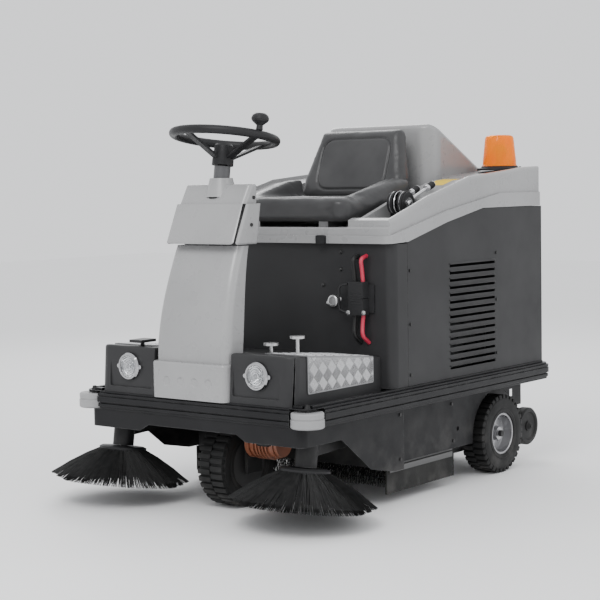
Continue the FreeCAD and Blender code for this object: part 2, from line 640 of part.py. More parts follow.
def foot_platform():
    """Moulded floor with a pod each side of the column, hollow underneath."""
    half = D.pod_half_width
    front_low, front_top = D.pod_front_low, D.pod_front_top
    high_front, high_rear = platform_top()
    body = new_body("foot_platform")
    pad(body, "YZ_Plane", [(front_low, D.deck_top), high_front, high_rear, (D.platform_rear, D.deck_top)],
        -half, half)
    notch = D.platform_notch_half_width
    pocket(body, "XY_Plane", rectangle(-notch, front_low - 5, notch, D.platform_notch_rear), D.deck_top - 1,
           D.pod_top + 5)
    soften(body, D.pod_corner, lambda edge: outer_front_edge(edge, half.value, front_top.value))
    soften(body, D.pod_edge, lambda edge: top_rim(edge, high_front, high_rear))
    wall = D.platform_wall
    low_front, low_rear = platform_top(4)
    for side in (-1, 1):
        inner, outer = notch + wall, half - wall
        ends = (inner, outer) if side > 0 else (-outer, -inner)
        pocket(body, "YZ_Plane", [(front_low + 12, D.deck_top - 1), (front_top + 14, low_front[1] - 1),
                                  (low_rear[0] - wall, low_rear[1]),
                                  (D.platform_rear - wall, D.deck_top - 1)],
               *ends)
        recess = [(D.pod_recess_in * side, D.pod_recess_low, 6),
                  (D.pod_recess_out * side, D.pod_recess_low, 6),
                  (D.pod_recess_out * side, D.pod_top - 14, 6), (D.pod_recess_in * side, D.pod_top - 14, 6)]
        if side < 0:
            recess.reverse()
        pocket(body, "XZ_Plane", recess, front_low - 2, front_low + D.pod_recess_depth + 3)
    floor = box("FloorPan", (-notch - wall, D.platform_notch_rear + wall, D.deck_top - 1),
                (notch + wall, D.platform_rear - wall, D.platform_rear_top - 8))
    bores = [rod("LampBore%d" % (side + 1), D.lamp_bowl_radius + 1,
                 (D.lamp_x * side, front_low - 10, D.lamp_z), D.lamp_depth + 12, "Y") for side in (-1, 1)]
    stalks = [box("StalkSlot%d" % number, (x - 9, y - 32, 380), (x + 9, y + 10, 490))
              for number, (x, y) in enumerate(((D.accelerator_x, D.accelerator_y), (D.brake_x, D.brake_y)))]
    treadle_slot = box("TreadleSlot", (D.treadle_x - 9, D.treadle_y - 9, 380),
                       (D.treadle_x + 9, D.treadle_y + 9, 490))
    keep(cut("FootPlatform", body, [floor] + bores + stalks + [treadle_slot]), "foot_platform")


def outer_front_edge(edge, half, front):
    """True for the near-upright edges at the platform's two front corners."""
    box_of = edge.BoundBox
    return abs(abs(box_of.XMin) - half) < 0.1 and box_of.XLength < 0.1 and box_of.ZLength > 100 \
        and box_of.YMax < front + 1


def top_rim(edge, high_front, high_rear):
    """True for the edges of the sloping top, apart from its rear one."""
    slope = (high_rear[1].value - high_front[1].value) / (high_rear[0].value - high_front[0].value)
    for vertex in edge.Vertexes:
        level = high_front[1].value + slope * (vertex.Point.y - high_front[0].value)
        if abs(vertex.Point.z - level) > 0.05 or vertex.Point.y > high_rear[0].value - 0.1 > edge.BoundBox.YMin:
            return False
    return edge.BoundBox.YMin < high_rear[0].value - 1


def tread_plates():
    """Bent aluminium checker plates over the platform's top and sides."""
    half = D.pod_half_width
    high_front, high_rear = platform_top()
    slope = (high_rear[1] - high_front[1]) / (high_rear[0] - high_front[0])
    front_z = high_front[1] + slope * (D.tread_front - high_front[0])
    rear_z = high_front[1] + slope * (D.tread_rear - high_front[0])
    thick = D.tread_thickness
    top = new_body("tread_top")
    gap = 0.4
    pad(top, "YZ_Plane", [(D.tread_front, front_z + gap), (D.tread_rear, rear_z + gap),
                          (D.tread_rear, rear_z + thick + gap), (D.tread_front, front_z + thick + gap)],
        D.tread_inner, half + thick + gap)
    side = new_body("tread_side")
    pad(side, "YZ_Plane", [(D.tread_front, D.tread_low, 6), (D.tread_rear, D.tread_low, 6),
                           (D.tread_rear, rear_z + thick + gap), (D.tread_front, front_z + thick + gap)],
        half + gap, half + thick + gap)
    left = fuse("TreadLeft", [top, side])
    outer = (half + thick + gap).value
    bent = rounded("TreadLeftBent", left, 2.5, lambda edge: abs(edge.BoundBox.XMin - outer) < 0.01
                   and edge.BoundBox.XLength < 0.01 and edge.BoundBox.YLength > 200
                   and edge.BoundBox.ZMin > D.tread_low.value + 20)
    slot = box("BrakeSlot", (D.brake_x - 9, D.brake_y - 32, D.tread_low),
               (D.brake_x + 9, D.brake_y + 10, D.pod_top + 20))
    keep(group("TreadPlates", [cut("TreadSlotted", bent, [slot]), mirrored("TreadRight", bent)]),
         "tread_plates")


def headlamps():
    """Bezel with two ears and a bowl behind, and a domed lens in front, each side."""
    front = D.pod_front_low - D.lamp_stand_out
    bowl = D.lamp_bowl_radius
    ring = [(sized(6), D.lamp_depth), (bowl, sized(13)), (bowl, sized(10)), (D.lamp_radius, sized(10)),
            (D.lamp_radius, sized(4)), (D.lamp_radius - 3, sized(0)), (bowl - 2, sized(0)),
            (bowl - 2, sized(13)), (sized(6), D.lamp_depth - 3)]
    bezel = turned("lamp_bezel", ring, (D.lamp_x, front, D.lamp_z), "Y")
    ears = [rod("LampEar%d" % (end + 1), D.lamp_ear, (D.lamp_x + (D.lamp_radius + 2) * end, front + 5,
                                                      D.lamp_z),
                5, "Y") for end in (-1, 1)]
    left = fuse("BezelLeft", [bezel] + ears)
    keep(group("HeadlightBezels", [left, mirrored("BezelRight", left)]), "headlight_bezels")
    edge = bowl - 2.4
    lens = turned("lamp_lens", [(sized(0), sized(-1)), (edge / 2, sized(0)), (edge, D.lens_thickness),
                                (edge, D.lens_thickness + 3), (sized(0), D.lens_thickness + 1)],
                  (D.lamp_x, front, D.lamp_z), "Y")
    keep(group("HeadlightLenses", [lens, mirrored("LensRight", lens)]), "headlight_lenses")


# ---------------------------------------------------------------- column

def column_apron():
    """Column cover: a lower block with a ridge on top, and a tapering upper shell, open behind."""
    wall = D.apron_wall
    lower = new_body("apron_lower")
    half = D.apron_half_low
    pad(lower, "XY_Plane", [(-half, D.apron_back_low), (-half, D.apron_front_low, D.apron_corner),
                            (half, D.apron_front_low, D.apron_corner), (half, D.apron_back_low)],
        D.apron_bottom, D.apron_ridge_z)
    soften(lower, 7, lambda edge: edge.BoundBox.ZMin > D.apron_ridge_z.value - 0.1
           and edge.BoundBox.YMin < D.apron_back_low.value - 1)
    stations = [(D.apron_ridge_z - 20, D.apron_half_ridge, D.apron_front_ridge + D.apron_ridge_step,
                 D.apron_back_low),
                (D.apron_mid_z, (D.apron_half_ridge + D.apron_half_top) / 2, D.apron_front_mid,
                 D.apron_back_mid),
                (D.apron_high_z, D.apron_half_top + 2, D.apron_front_high, D.apron_back_high),
                (D.apron_top, D.apron_half_top, D.apron_front_top, D.apron_back_top)]
    upper = loft("apron_upper", stations, sized(0))
    hollow = loft("apron_hollow", stations, wall)
    corner = D.apron_corner - wall
    inside = new_body("apron_inside")
    inner = half - wall
    pad(inside, "XY_Plane", [(-inner, D.apron_back_low + 60), (-inner, D.apron_front_low + wall, corner),
                             (inner, D.apron_front_low + wall, corner), (inner, D.apron_back_low + 60)],
        D.apron_bottom - 1, D.apron_ridge_z - wall)
    dimples = []
    for number in range(4):
        x = (number - 1.5) * 52
        dimples.append(cone("Dimple%d" % number, 15, 10, (x, D.apron_front_low - 0.5, 382), 3.0, "Y"))
    keep(cut("ColumnApron", fuse("ApronOuter", [lower, upper]), [hollow, inside] + dimples), "column_apron")


def loft(name, stations, inset):
    """A ruled-free loft through rounded U sections, moved in by an inset and left open behind."""
    body = new_body(name)
    sketches = []
    spill = 0 if inset.value == 0 else 30
    for level, half, front, back in stations:
        reach = half - inset
        low_front = front + inset
        rear = back + spill
        corners = [(-reach, rear), (-reach, low_front, D.apron_corner - inset),
                   (reach, low_front, D.apron_corner - inset), (reach, rear)]
        sketches.append(sketch_on(body, "XY_Plane", level, corners))
    feature = body.newObject("PartDesign::AdditiveLoft", body.Name + "Loft")
    feature.Profile = sketches[0]
    feature.Sections = sketches[1:]
    return body


def head_profile(low, high):
    """Side profile of one head cover between two levels of its leaning block."""
    front = {"low": D.head_front_low, "seam": D.head_front_seam, "top": D.head_front_top}
    rear = {"low": D.head_rear_low, "seam": D.head_rear_seam, "top": D.head_rear_top}
    level = {"low": D.head_bottom, "seam": D.head_seam, "top": D.head_top}
    return [(front[low], level[low]), (front[high], level[high]), (rear[high], level[high]),
            (rear[low], level[low])]


def head_cover(label, low, high, half, shrink):
    """One hollow head cover, with all its outer edges rounded."""
    profile = head_profile(low, high)
    profile = [(profile[0][0] + shrink, profile[0][1]), (profile[1][0] + shrink, profile[1][1]),
               (profile[2][0] - shrink, profile[2][1]), (profile[3][0] - shrink, profile[3][1])]
    body = new_body(label)
    pad(body, "YZ_Plane", profile, -half, half)
    middle = (profile[0][1].value + profile[1][1].value) / 2
    centre = (profile[0][0].value + profile[3][0].value + profile[1][0].value + profile[2][0].value) / 4
    upright = [lambda edge: abs(edge.CenterOfMass.z - middle) < 2 and edge.BoundBox.XLength < 1
               and edge.CenterOfMass.y < centre,
               lambda edge: abs(edge.CenterOfMass.z - middle) < 2 and edge.BoundBox.XLength < 1
               and edge.CenterOfMass.y > centre]
    soften(body, D.head_corner if low == "low" else D.head_corner - 6, upright[0])
    soften(body, D.head_rear_corner, upright[1])
    soft_end = profile[0][1].value if low == "low" else profile[1][1].value
    soften(body, D.head_edge, lambda edge: abs(edge.BoundBox.ZMin - soft_end) < 0.1
           and edge.BoundBox.ZLength < 0.1)
    wall = D.head_wall
    open_low = profile[0][1] - 1 if low == "low" else profile[0][1] - 1
    inner = [(profile[0][0] + wall, open_low), (profile[1][0] + wall,
                                                profile[1][1] - wall + 8 * (low == "low")),
             (profile[2][0] - wall, profile[2][1] - wall + 8 * (low == "low")),
             (profile[3][0] - wall, open_low)]
    pocket(body, "YZ_Plane", inner, -half + wall, half - wall)
    return body


def column_head():
    """The two head covers, with a boss on the upper one that the steering tube comes out of."""
    lower = head_cover("head_lower_shell", "low", "seam", D.head_half_low, sized(0))
    opening = leaning_rod("TubeWayLow", D.tube_radius + 1.5, D.head_bottom - 40, 300)
    keep(cut("HeadCoverLower", lower, [opening]), "head_cover_lower")
    upper = head_cover("head_upper_shell", "seam", "top", D.head_half_high - D.head_inset / 2, D.head_inset)
    boss = cone("TubeBoss", D.boss_radius, D.boss_top_radius, (0, D.tube_top_y - 2, D.head_seam + 20),
                D.boss_top - D.head_seam - 20)
    opening = leaning_rod("TubeWayHigh", D.tube_radius + 1.5, D.head_bottom - 40, 300)
    boss_hollow = cone("BossHollow", D.boss_radius - 4, D.boss_top_radius - 4,
                       (0, D.tube_top_y - 2, D.head_seam + 15), D.boss_top - D.head_seam - 20)
    keep(cut("HeadCoverUpper", fuse("HeadUpperBoss", [upper, boss]), [opening, boss_hollow]),
         "head_cover_upper")


LEAN = math.radians(SIZES["column_lean"])
COLUMN = VECTOR(0, math.sin(LEAN), math.cos(LEAN))


def column_spot(level):
    """The point of the steering axis at a height, as sizes."""
    rise = sized(level) - D.tube_top_z
    return (sized(0), D.tube_top_y + rise * math.tan(LEAN), sized(level))


def leaning(thing, level):
    """Stand a piece made round Z on the steering axis at a height."""
    return place(thing, column_spot(level), VECTOR(1, 0, 0), -SIZES["column_lean"])


def leaning_rod(name, radius, level, length):
    """A cylinder along the steering axis from a height upwards."""
    thing = doc.addObject("Part::Cylinder", name)
    bind(thing, "Radius", radius)
    bind(thing, "Height", length)
    return leaning(thing, level)


def steering_tube():
    """Tube that carries the steering shaft, from the deck to just under the wheel."""
    start = D.tube_top_z - D.tube_length * math.cos(LEAN) + 36
    reach = D.tube_length - 8
    tube = leaning_rod("ColumnTube", D.tube_radius, start, reach)
    bore = leaning_rod("ColumnBore", D.tube_bore, start - 5, reach + 12)
    foot = box("ColumnFoot", (-40, column_spot(start)[1] - 26, D.deck_top),
               (40, column_spot(start)[1] + 30, start + 12))
    keep(cut("SteeringTube", fuse("TubeFoot", [tube, foot]), [bore]), "steering_tube")


def steering_wheel():
    """Rim, three rising spokes, hub and the shaft that turns in the tube."""
    hub_low = D.hub_rise
    body = turned("wheel_hub", [(sized(0), hub_low - D.shaft_reach),
                                (D.shaft_radius, hub_low - D.shaft_reach),
                                (D.shaft_radius, hub_low), (D.hub_radius, hub_low),
                                (D.hub_radius, hub_low + 14), (D.hub_top_radius, hub_low + D.hub_height - 6),
                                (D.hub_top_radius - 5, hub_low + D.hub_height),
                                (sized(0), hub_low + D.hub_height)], (0, 0, 0))
    rim = doc.addObject("Part::Torus", "Rim")
    bind(rim, "Radius1", D.rim_radius)
    bind(rim, "Radius2", D.rim_tube)
    place(rim, (0, 0, D.rim_rise))
    spokes = []
    for number in range(3):
        spoke = new_body("spoke_%d" % number)
        half = D.spoke_width / 2
        start = D.hub_radius - 8
        thick = D.spoke_thickness
        pad(spoke, "XZ_Plane", [(start, hub_low + 16), (D.rim_radius - 4, D.rim_rise - 5),
                                (D.rim_radius - 4, D.rim_rise - 5 + thick), (start, hub_low + 16 + thick)],
            -half, half)
        spokes.append(place(spoke, (0, 0, 0), UP, SIZES["spoke_turn"] + SIZES["spoke_step"] * number))
    whole = fuse("WheelUpright", [body, rim] + spokes)
    holder = doc.addObject("Part::Compound", "SteeringWheel")
    holder.Links = [whole]
    keep(leaning(holder, D.tube_top_z), "steering_wheel")


def spinner_knob():
    """Mushroom knob that spins on a pin on the rim's left."""
    base = D.rim_tube + 0.4
    knob = D.knob_radius
    top = base + D.knob_height
    corners = [(sized(0), base), (sized(10), base), (sized(9), base + 13), (knob - 3, top - 22),
               (knob, top - 17),
               (knob, top - 12), (knob - 3, top - 5), (knob - 9, top), (sized(0), top)]
    body = turned("knob_upright", corners, (0, 0, 0))
    turn = math.radians(D.knob_angle.value)
    spot = column_spot(D.tube_top_z)
    rearward = D.rim_radius * math.sin(turn)
    holder = doc.addObject("Part::Compound", "SpinnerKnob")
    holder.Links = [body]
    place(holder, (D.rim_radius * math.cos(turn), spot[1] + rearward * COLUMN.z + D.rim_rise * COLUMN.y,
                   spot[2] - rearward * COLUMN.y + D.rim_rise * COLUMN.z), VECTOR(1, 0,
                                                                                  0), -SIZES["column_lean"])
    keep(holder, "spinner_knob")


# ---------------------------------------------------------------- wheels and drive

def wheel(tag, centre, width, rim_radius, bore, tyre_label, rim_label, outward):
    """A tyre and its dished rim on the X axis; outward is +1 or -1 for the dished face."""
    half = width / 2
    radius = D.wheel_radius
    tyre = turned("tyre_" + tag, [(rim_radius, 6 - half), (rim_radius + 14, -half), (radius - 18, -half),
                                  (radius - 6, 5 - half), (radius, 14 - half), (radius, half - 14),
                                  (radius - 6, half - 5), (radius - 18, half), (rim_radius + 14, half),
                                  (rim_radius, half - 6)], centre, "X")
    dish = (half - 34) * outward
    low, high = (6 - half, half - 6)
    if outward > 0:
        corners = [(bore, low), (rim_radius, low), (rim_radius, high), (rim_radius - 5, high),
                   (rim_radius - 9, dish), (bore + 14, dish + 4), (bore + 10, high - 10), (bore, high - 10)]
    else:
        corners = [(bore, low + 10), (bore + 10, low + 10), (bore + 14, dish - 4), (rim_radius - 9, dish),
                   (rim_radius - 5, low), (rim_radius, low), (rim_radius, high), (bore, high)]
    rim = turned("rim_" + tag, corners, centre, "X")
    keep(tyre, tyre_label)
    keep(rim, rim_label)


def wheels():
    """The front drive wheel and the two rear wheels."""
    wheel("front", (0, D.front_wheel_y, D.wheel_radius), D.front_wheel_width, D.front_rim_radius,
          D.axle_radius + D.fit_gap, "front_tyre", "front_rim", -1)
    for side, tag in ((1, "left"), (-1, "right")):
        centre = (D.rear_wheel_outer - D.rear_wheel_width / 2) * side
        wheel(tag, (centre, D.rear_wheel_y, D.wheel_radius), D.rear_wheel_width, D.rear_rim_radius,
              D.rear_axle_radius + D.fit_gap, "rear_tyre_" + tag, "rear_rim_" + tag, side)


def steer_fork():
    """Fork with its stem and axle, turning under the deck."""
    reach = D.front_wheel_width / 2 + D.fork_gap
    outer = reach + D.fork_plate
    y = D.front_wheel_y
    depth = D.fork_half_depth
    crown = box("Crown", (-outer, y - depth, D.fork_crown_z), (outer, y + depth, D.fork_crown_z + 10))
    plates = []
    for side in (-1, 1):
        low_x, high_x = (reach, outer) if side > 0 else (-outer, -reach)
        plates.append(box("ForkPlate%d" % (side + 1), (low_x, y - depth, D.wheel_radius - 24),
                          (high_x, y + depth, D.fork_crown_z + 1)))
    stem = rod("Stem", D.stem_radius, (0, y, D.fork_crown_z), D.stem_top - D.fork_crown_z)
    axle = rod("FrontAxle", D.axle_radius, (-outer, y, D.wheel_radius), outer * 2, "X")
    keep(fuse("SteerFork", [crown, stem, axle] + plates), "steer_fork")


def drive_motor():
    """Drive motor bolted to the fork's left plate, with its gear flange and end cap."""
    start = D.front_wheel_width / 2 + D.fork_gap + D.fork_plate
    y, z = D.front_wheel_y, D.motor_z
    flange = rod("MotorFlange", D.motor_radius, (start, y, z), 14, "X")
    can = rod("MotorCan", D.motor_radius - 5, (start, y, z), D.motor_reach - start - 12, "X")
    cap = rod("MotorCap", D.motor_radius - 9, (start, y, z), D.motor_reach - start, "X")
    keep(fuse("DriveMotor", [flange, can, cap]), "drive_motor")


# ---------------------------------------------------------------- side brushes

BRUSH_LEAN = math.radians(SIZES["brush_lean"])
BRUSH_AXIS = VECTOR(0, math.sin(BRUSH_LEAN), math.cos(BRUSH_LEAN))


def on_brush(thing, side):
    """Stand a piece made round Z, with its origin in the hub, on one raised side brush's axis."""
    return place(thing, (D.brush_x * side, D.brush_y, D.brush_z), VECTOR(1, 0, 0), -SIZES["brush_lean"])


def side_brush(tag, side):
    """Disc with its spindle, bristle ring, and the arm with the brush motor."""
    disc = D.brush_disc_radius
    thick = D.brush_disc_thickness
    spin = D.spindle_radius
    keep(on_brush(turned("disc_" + tag, [(sized(0), -thick), (disc, -thick), (disc, sized(-4)),
                                         (disc - 8, sized(0)), (spin, sized(0)), (spin, D.spindle_length),
                                         (sized(0), D.spindle_length)], (0, 0, 0)), side),
         "brush_disc_" + tag)
    root, tip, drop = D.bristle_root_radius, D.brush_tip_radius, -D.brush_drop
    keep(on_brush(turned("bristle_" + tag, [(root - 18, -thick - 0.2), (root + 8, -thick - 0.2),
                                            (tip, drop + 6), (tip - 6, drop), (tip - 42, drop)],
                         (0, 0, 0)), side), "brush_bristles_" + tag)
    brush_arm(tag, side)


def brush_arm(tag, side):
    """Arm from the pivot to the motor, drilled for the pivot pin and the spindle."""
    radius = D.brush_motor_radius
    rise = D.brush_motor_height
    gap = 2.5
    motor = on_brush(turned("motor_" + tag, [(sized(0), sized(gap)), (radius, sized(gap)), (radius, rise),
                                             (radius - 8, rise + 8), (sized(0), rise + 8)], (0, 0, 0)), side)
    spindle_bore = on_brush(turned("spindle_" + tag, [(sized(0), sized(-1)),
                                                      (D.spindle_radius + D.fit_gap, sized(-1)),
                                                      (D.spindle_radius + D.fit_gap, D.spindle_length + 1),
                                                      (sized(0), D.spindle_length + 1)], (0, 0, 0)), side)
    half = D.arm_width / 2
    height = D.arm_height / 2
    arm = new_body("arm_bar_" + tag)
    low_z = D.brush_z + 34
    pad(arm, "YZ_Plane", [(D.brush_y + 8, low_z - 6), (D.arm_pivot_y + height, D.arm_pivot_z - height, 10),
                          (D.arm_pivot_y + height, D.arm_pivot_z + height, 10),
                          (D.brush_y + 16, low_z + D.arm_height)],
        D.brush_x * side - half, D.brush_x * side + half)
    bore = rod("ArmBore" + tag, D.arm_pin_radius + D.fit_gap,
               (D.brush_x * side - half - 1, D.arm_pivot_y, D.arm_pivot_z), D.arm_width + 2, "X")
    keep(cut("BrushArm" + tag, fuse("ArmPieces" + tag, [arm, motor]), [bore, spindle_bore]),
         "brush_arm_" + tag)


# ---------------------------------------------------------------- main brush

def main_brush():
    """Cylindrical brush on its axle, between two lifting arms joined by a tie tube."""
    half = D.main_brush_half
    start = (-half, D.main_brush_y, D.main_brush_z)
    roll = rod("BrushRoll", D.main_brush_radius, start, half * 2, "X")
    bore = rod("BrushBore", D.main_axle_radius + D.fit_gap, (-half - 1, D.main_brush_y, D.main_brush_z),
               half * 2 + 2, "X")
    keep(cut("MainBrush", roll, [bore]), "main_brush")
    inner = D.main_arm_x
    arm = D.main_arm_thickness
    plate = new_body("lift_plate")
    y1, z1, y2, z2 = D.main_brush_y, D.main_brush_z, D.main_arm_y, D.main_arm_z
    pad(plate, "YZ_Plane", [(y1 - 18, z1 - 18, 12), (y1 + 10, z1 - 20, 12), (y2 + 18, z2 - 14, 12),
                            (y2 + 18, z2 + 18, 12), (y2 - 14, z2 + 18, 12), (y1 - 18, z1 + 14, 12)],
        inner, inner + arm)
    pin_bore = rod("LiftBore", D.main_axle_radius + D.fit_gap, (inner - 1, y2, z2), arm + 2, "X")
    left = cut("LiftArmLeft", plate, [pin_bore])
    axle = rod("BrushAxle", D.main_axle_radius, (-inner - arm, y1, z1), inner * 2 + arm * 2, "X")
    keep(fuse("MainBrushFrame", [left, mirrored("LiftArmRight", left), axle]), "main_brush_frame")


def main_brush_housing():
    """Sheet tunnel over the main brush, open below and towards the hopper."""
    half, wall = D.housing_half, D.housing_wall
    body = new_body("main_brush_housing")
    pad(body, "YZ_Plane", rectangle(D.housing_front, D.housing_low, D.housing_rear, D.housing_top),
        -half, half)
    pocket(body, "YZ_Plane", rectangle(D.housing_front + wall, D.housing_low - 1, D.housing_rear - wall,
                                       D.housing_top - wall), -half + wall, half - wall)
    pocket(body, "XZ_Plane", rectangle(-half + 40, D.housing_low - 1, half - 40, D.intake_low),
           D.housing_rear - wall - 1, D.housing_rear + 1)
    ways = []
    for side in (-1, 1):
        inner = D.main_arm_x + 2
        low_x, high_x = (inner, half + 1) if side > 0 else (-half - 1, -inner)
        ways.append(box("PivotWay%d" % (side + 1), (low_x, D.main_arm_y - 22, D.main_arm_z - 22),
                        (high_x, D.main_arm_y + 22, D.housing_top + 1)))
    keep(cut("MainBrushHousing", body, ways), "main_brush_housing")


# ---------------------------------------------------------------- hopper

def hopper():
    """Open bin between the rails, with a low front sill, a rear grip and wheel arms."""
    half, wall = D.hopper_half, D.hopper_wall
    body = new_body("hopper_bin")
    pad(body, "YZ_Plane", [(D.hopper_front, D.hopper_low, 10), (D.hopper_rear, D.hopper_low, 10),
                           (D.hopper_rear, D.hopper_top), (D.hopper_front, D.hopper_top)], -half, half)
    pocket(body, "YZ_Plane", [(D.hopper_front + wall, D.hopper_low + wall, 6),
                              (D.hopper_rear - wall, D.hopper_low + wall, 6),
                              (D.hopper_rear - wall, D.hopper_top + 1),
                              (D.hopper_front + wall, D.hopper_top + 1)],
           -half + wall, half - wall)
    pocket(body, "XZ_Plane", rectangle(-half + 30, D.hopper_sill, half - 30, D.hopper_top + 1),
           D.hopper_front - 1, D.hopper_front + wall + 1)
    pieces = [body]
    for side in (-1, 1):
        inner = D.hopper_wheel_x - D.hopper_wheel_width / 2 - 2
        low_x, high_x = (inner - D.hopper_arm, inner) if side > 0 else (-inner, D.hopper_arm - inner)
        back = D.hopper_wheel_y + 16
        pieces.append(box("WheelArm%d" % (side + 1), (low_x, D.hopper_rear - 2, D.hopper_wheel_z - 16),
                          (high_x, back, D.hopper_wheel_z + 60)))
        beam = (half - 6, high_x) if side > 0 else (low_x, 6 - half)
        pieces.append(box("ArmBeam%d" % (side + 1), (beam[0], D.hopper_rear - 2, D.hopper_wheel_z + 20),
                          (beam[1], D.hopper_rear + 4, D.hopper_wheel_z + 60)))
        length = D.hopper_wheel_width + 6
        start = inner - D.hopper_arm if side > 0 else -inner - length
        pieces.append(rod("HopperAxle%d" % (side + 1), D.hopper_axle_radius,
                          (start, D.hopper_wheel_y, D.hopper_wheel_z), length + D.hopper_arm, "X"))
    pieces += hopper_grip()
    keep(fuse("Hopper", pieces), "hopper")


def hopper_grip():
    """A bar on two stays across the hopper's rear."""
    stays = []
    out = D.hopper_rear + D.grip_out
    for side in (-1, 1):
        stays.append(rod("Stay%d" % (side + 1), D.grip_radius,
                         (D.grip_half * side, D.hopper_rear - 2, D.grip_z),
                         D.grip_out + 2, "Y"))
    reach = D.grip_half + D.grip_radius * 2
    return stays + [rod("GripBar", D.grip_radius + 1, (-reach, out, D.grip_z), reach * 2, "X")]


def hopper_wheel(tag, side):
    """Small plain wheel with a bore for the hopper's axle."""
    half = D.hopper_wheel_width / 2
    radius = D.hopper_wheel_radius
    bore = D.hopper_axle_radius + D.fit_gap
    corners = [(bore, -half), (radius - 5, -half), (radius, 5 - half), (radius, half - 5),
               (radius - 5, half),
               (radius - 14, half), (radius - 18, half - 5), (bore + 10, half - 5), (bore + 8, half),
               (bore, half)]
    if side < 0:
        corners = [(r, -along) for r, along in reversed(corners)]
    label = "hopper_wheel_" + tag
    keep(turned(label, corners, (D.hopper_wheel_x * side, D.hopper_wheel_y, D.hopper_wheel_z), "X"), label)


# ---------------------------------------------------------------- body panels

def front_panel():
    """Dark sheet across the front of the body, wrapped round both corners."""
    half, wall, tail = D.body_half_width, D.body_wall, D.body_seam
    top = D.shell_low_front - D.panel_gap
    body = new_body("front_panel")
    pad(body, "XY_Plane", [(-half, tail), (-half, D.body_front, D.body_corner),
                           (half, D.body_front, D.body_corner), (half, tail)], D.body_bottom, top)
    inner = half - wall
    pocket(body, "XY_Plane", [(-inner, tail + 1), (-inner, D.body_front + wall, D.body_corner - wall),
                              (inner, D.body_front + wall, D.body_corner - wall), (inner, tail + 1)],
           D.body_bottom - 1, top + 1)
    keep(body, "front_panel")


def shell_edge(drop):
    """The upper shell's lower edge seen from the side, lowered by a drop."""
    return [(D.edge_front_y, D.edge_front_z - drop), (D.edge_mid_y, D.edge_mid_z - drop),
            (D.edge_back_y, D.edge_back_z - drop)]


def side_panels():
    """Dark side doors with a block of louvre slots."""
    half, wall = D.body_half_width, D.body_wall
    front = D.body_seam + D.panel_gap
    line = shell_edge(D.panel_gap)
    panel = new_body("side_panel")
    pad(panel, "YZ_Plane", [(front, D.body_bottom), (D.body_rear, D.body_bottom), (D.body_rear, line[2][1]),
                            line[2], line[1], (front, line[0][1])], half - wall, half)
    slots = [box("Slot%d" % number, (half - wall - 1, D.louvre_front,
                                     D.louvre_low + D.louvre_pitch * number),
                 (half + 1, D.louvre_rear, D.louvre_low + D.louvre_pitch * number + D.louvre_slot))
             for number in range(int(SIZES["louvre_count"]))]
    left = cut("PanelLeft", panel, slots)
    keep(group("SidePanels", [left, mirrored("PanelRight", left)]), "side_panels")


def rear_panel():
    """Plain sheet across the back of the body."""
    inner = D.body_half_width - D.body_wall
    keep(box("RearPanel", (-inner, D.body_rear - D.body_wall, D.body_bottom),
             (inner, D.body_rear, D.edge_back_z - D.panel_gap)), "rear_panel")


# ---------------------------------------------------------------- upper shell

def crest(inset):
    """Side profile of the consoles' outer edge, moved in by an inset."""
    return [(D.console_front + inset, D.console_rise_z - inset), (D.crest_mid_y, D.crest_mid_z - inset),
            (D.crest_high_y, D.crest_high_z - inset), (D.crest_top_y, D.crest_top_z - inset),
            (D.shell_rear - inset, D.crest_rear_z - inset)]


def skirt_band(inset, name):
    """The shell's lower band, up to the ledge."""
    body = new_body(name)
    half = D.shell_half - inset
    low = shell_edge(inset * 0.2)
    front = D.shell_front + inset
    pad(body, "YZ_Plane", [(front, D.shell_low_front - inset * 0.2), low[0], low[1], low[2],
                           (D.shell_rear - inset, D.edge_back_z - inset * 0.2),
                           (D.shell_rear - inset, D.ledge_back - inset),
                           (D.ledge_back_y, D.ledge_back - inset),
                           (D.edge_mid_y, D.ledge_mid - inset), (front, D.ledge_front - inset)], -half, half)
    return body


def console_block(inset, name):
    """The shell's upper block, up to the crest."""
    body = new_body(name)
    half = D.shell_half - D.shell_inset - inset
    front = D.console_front - 8 + inset
    rear = D.shell_rear - 3 - inset
    line = crest(inset)
    pad(body, "YZ_Plane", [(front, D.shell_low_front + 4), (front, D.deck_floor - inset, 6),
                           (D.console_front + inset, D.deck_floor - inset + 3), line[0], line[1], line[2],
                           line[3], (rear, line[4][1]), (rear, D.edge_back_z + 4),
                           (D.edge_back_y, D.edge_back_z + 4), (D.edge_mid_y, D.edge_mid_z + 4)], -half,
                           half)
    return body


def hump(inset, name):
    """The raised hood behind the backrest."""
    body = new_body(name)
    half = D.hump_half - inset
    front, rear = D.hump_front + inset, D.shell_rear - 8 - inset
    pad(body, "YZ_Plane", [(front, D.deck_floor - 20), (front, D.hump_top - inset),
                           (D.hump_flat_rear, D.hump_top - inset), (rear, D.hump_rear_top - inset),
                           (rear, D.deck_floor - 20)], -half, half)
    return body


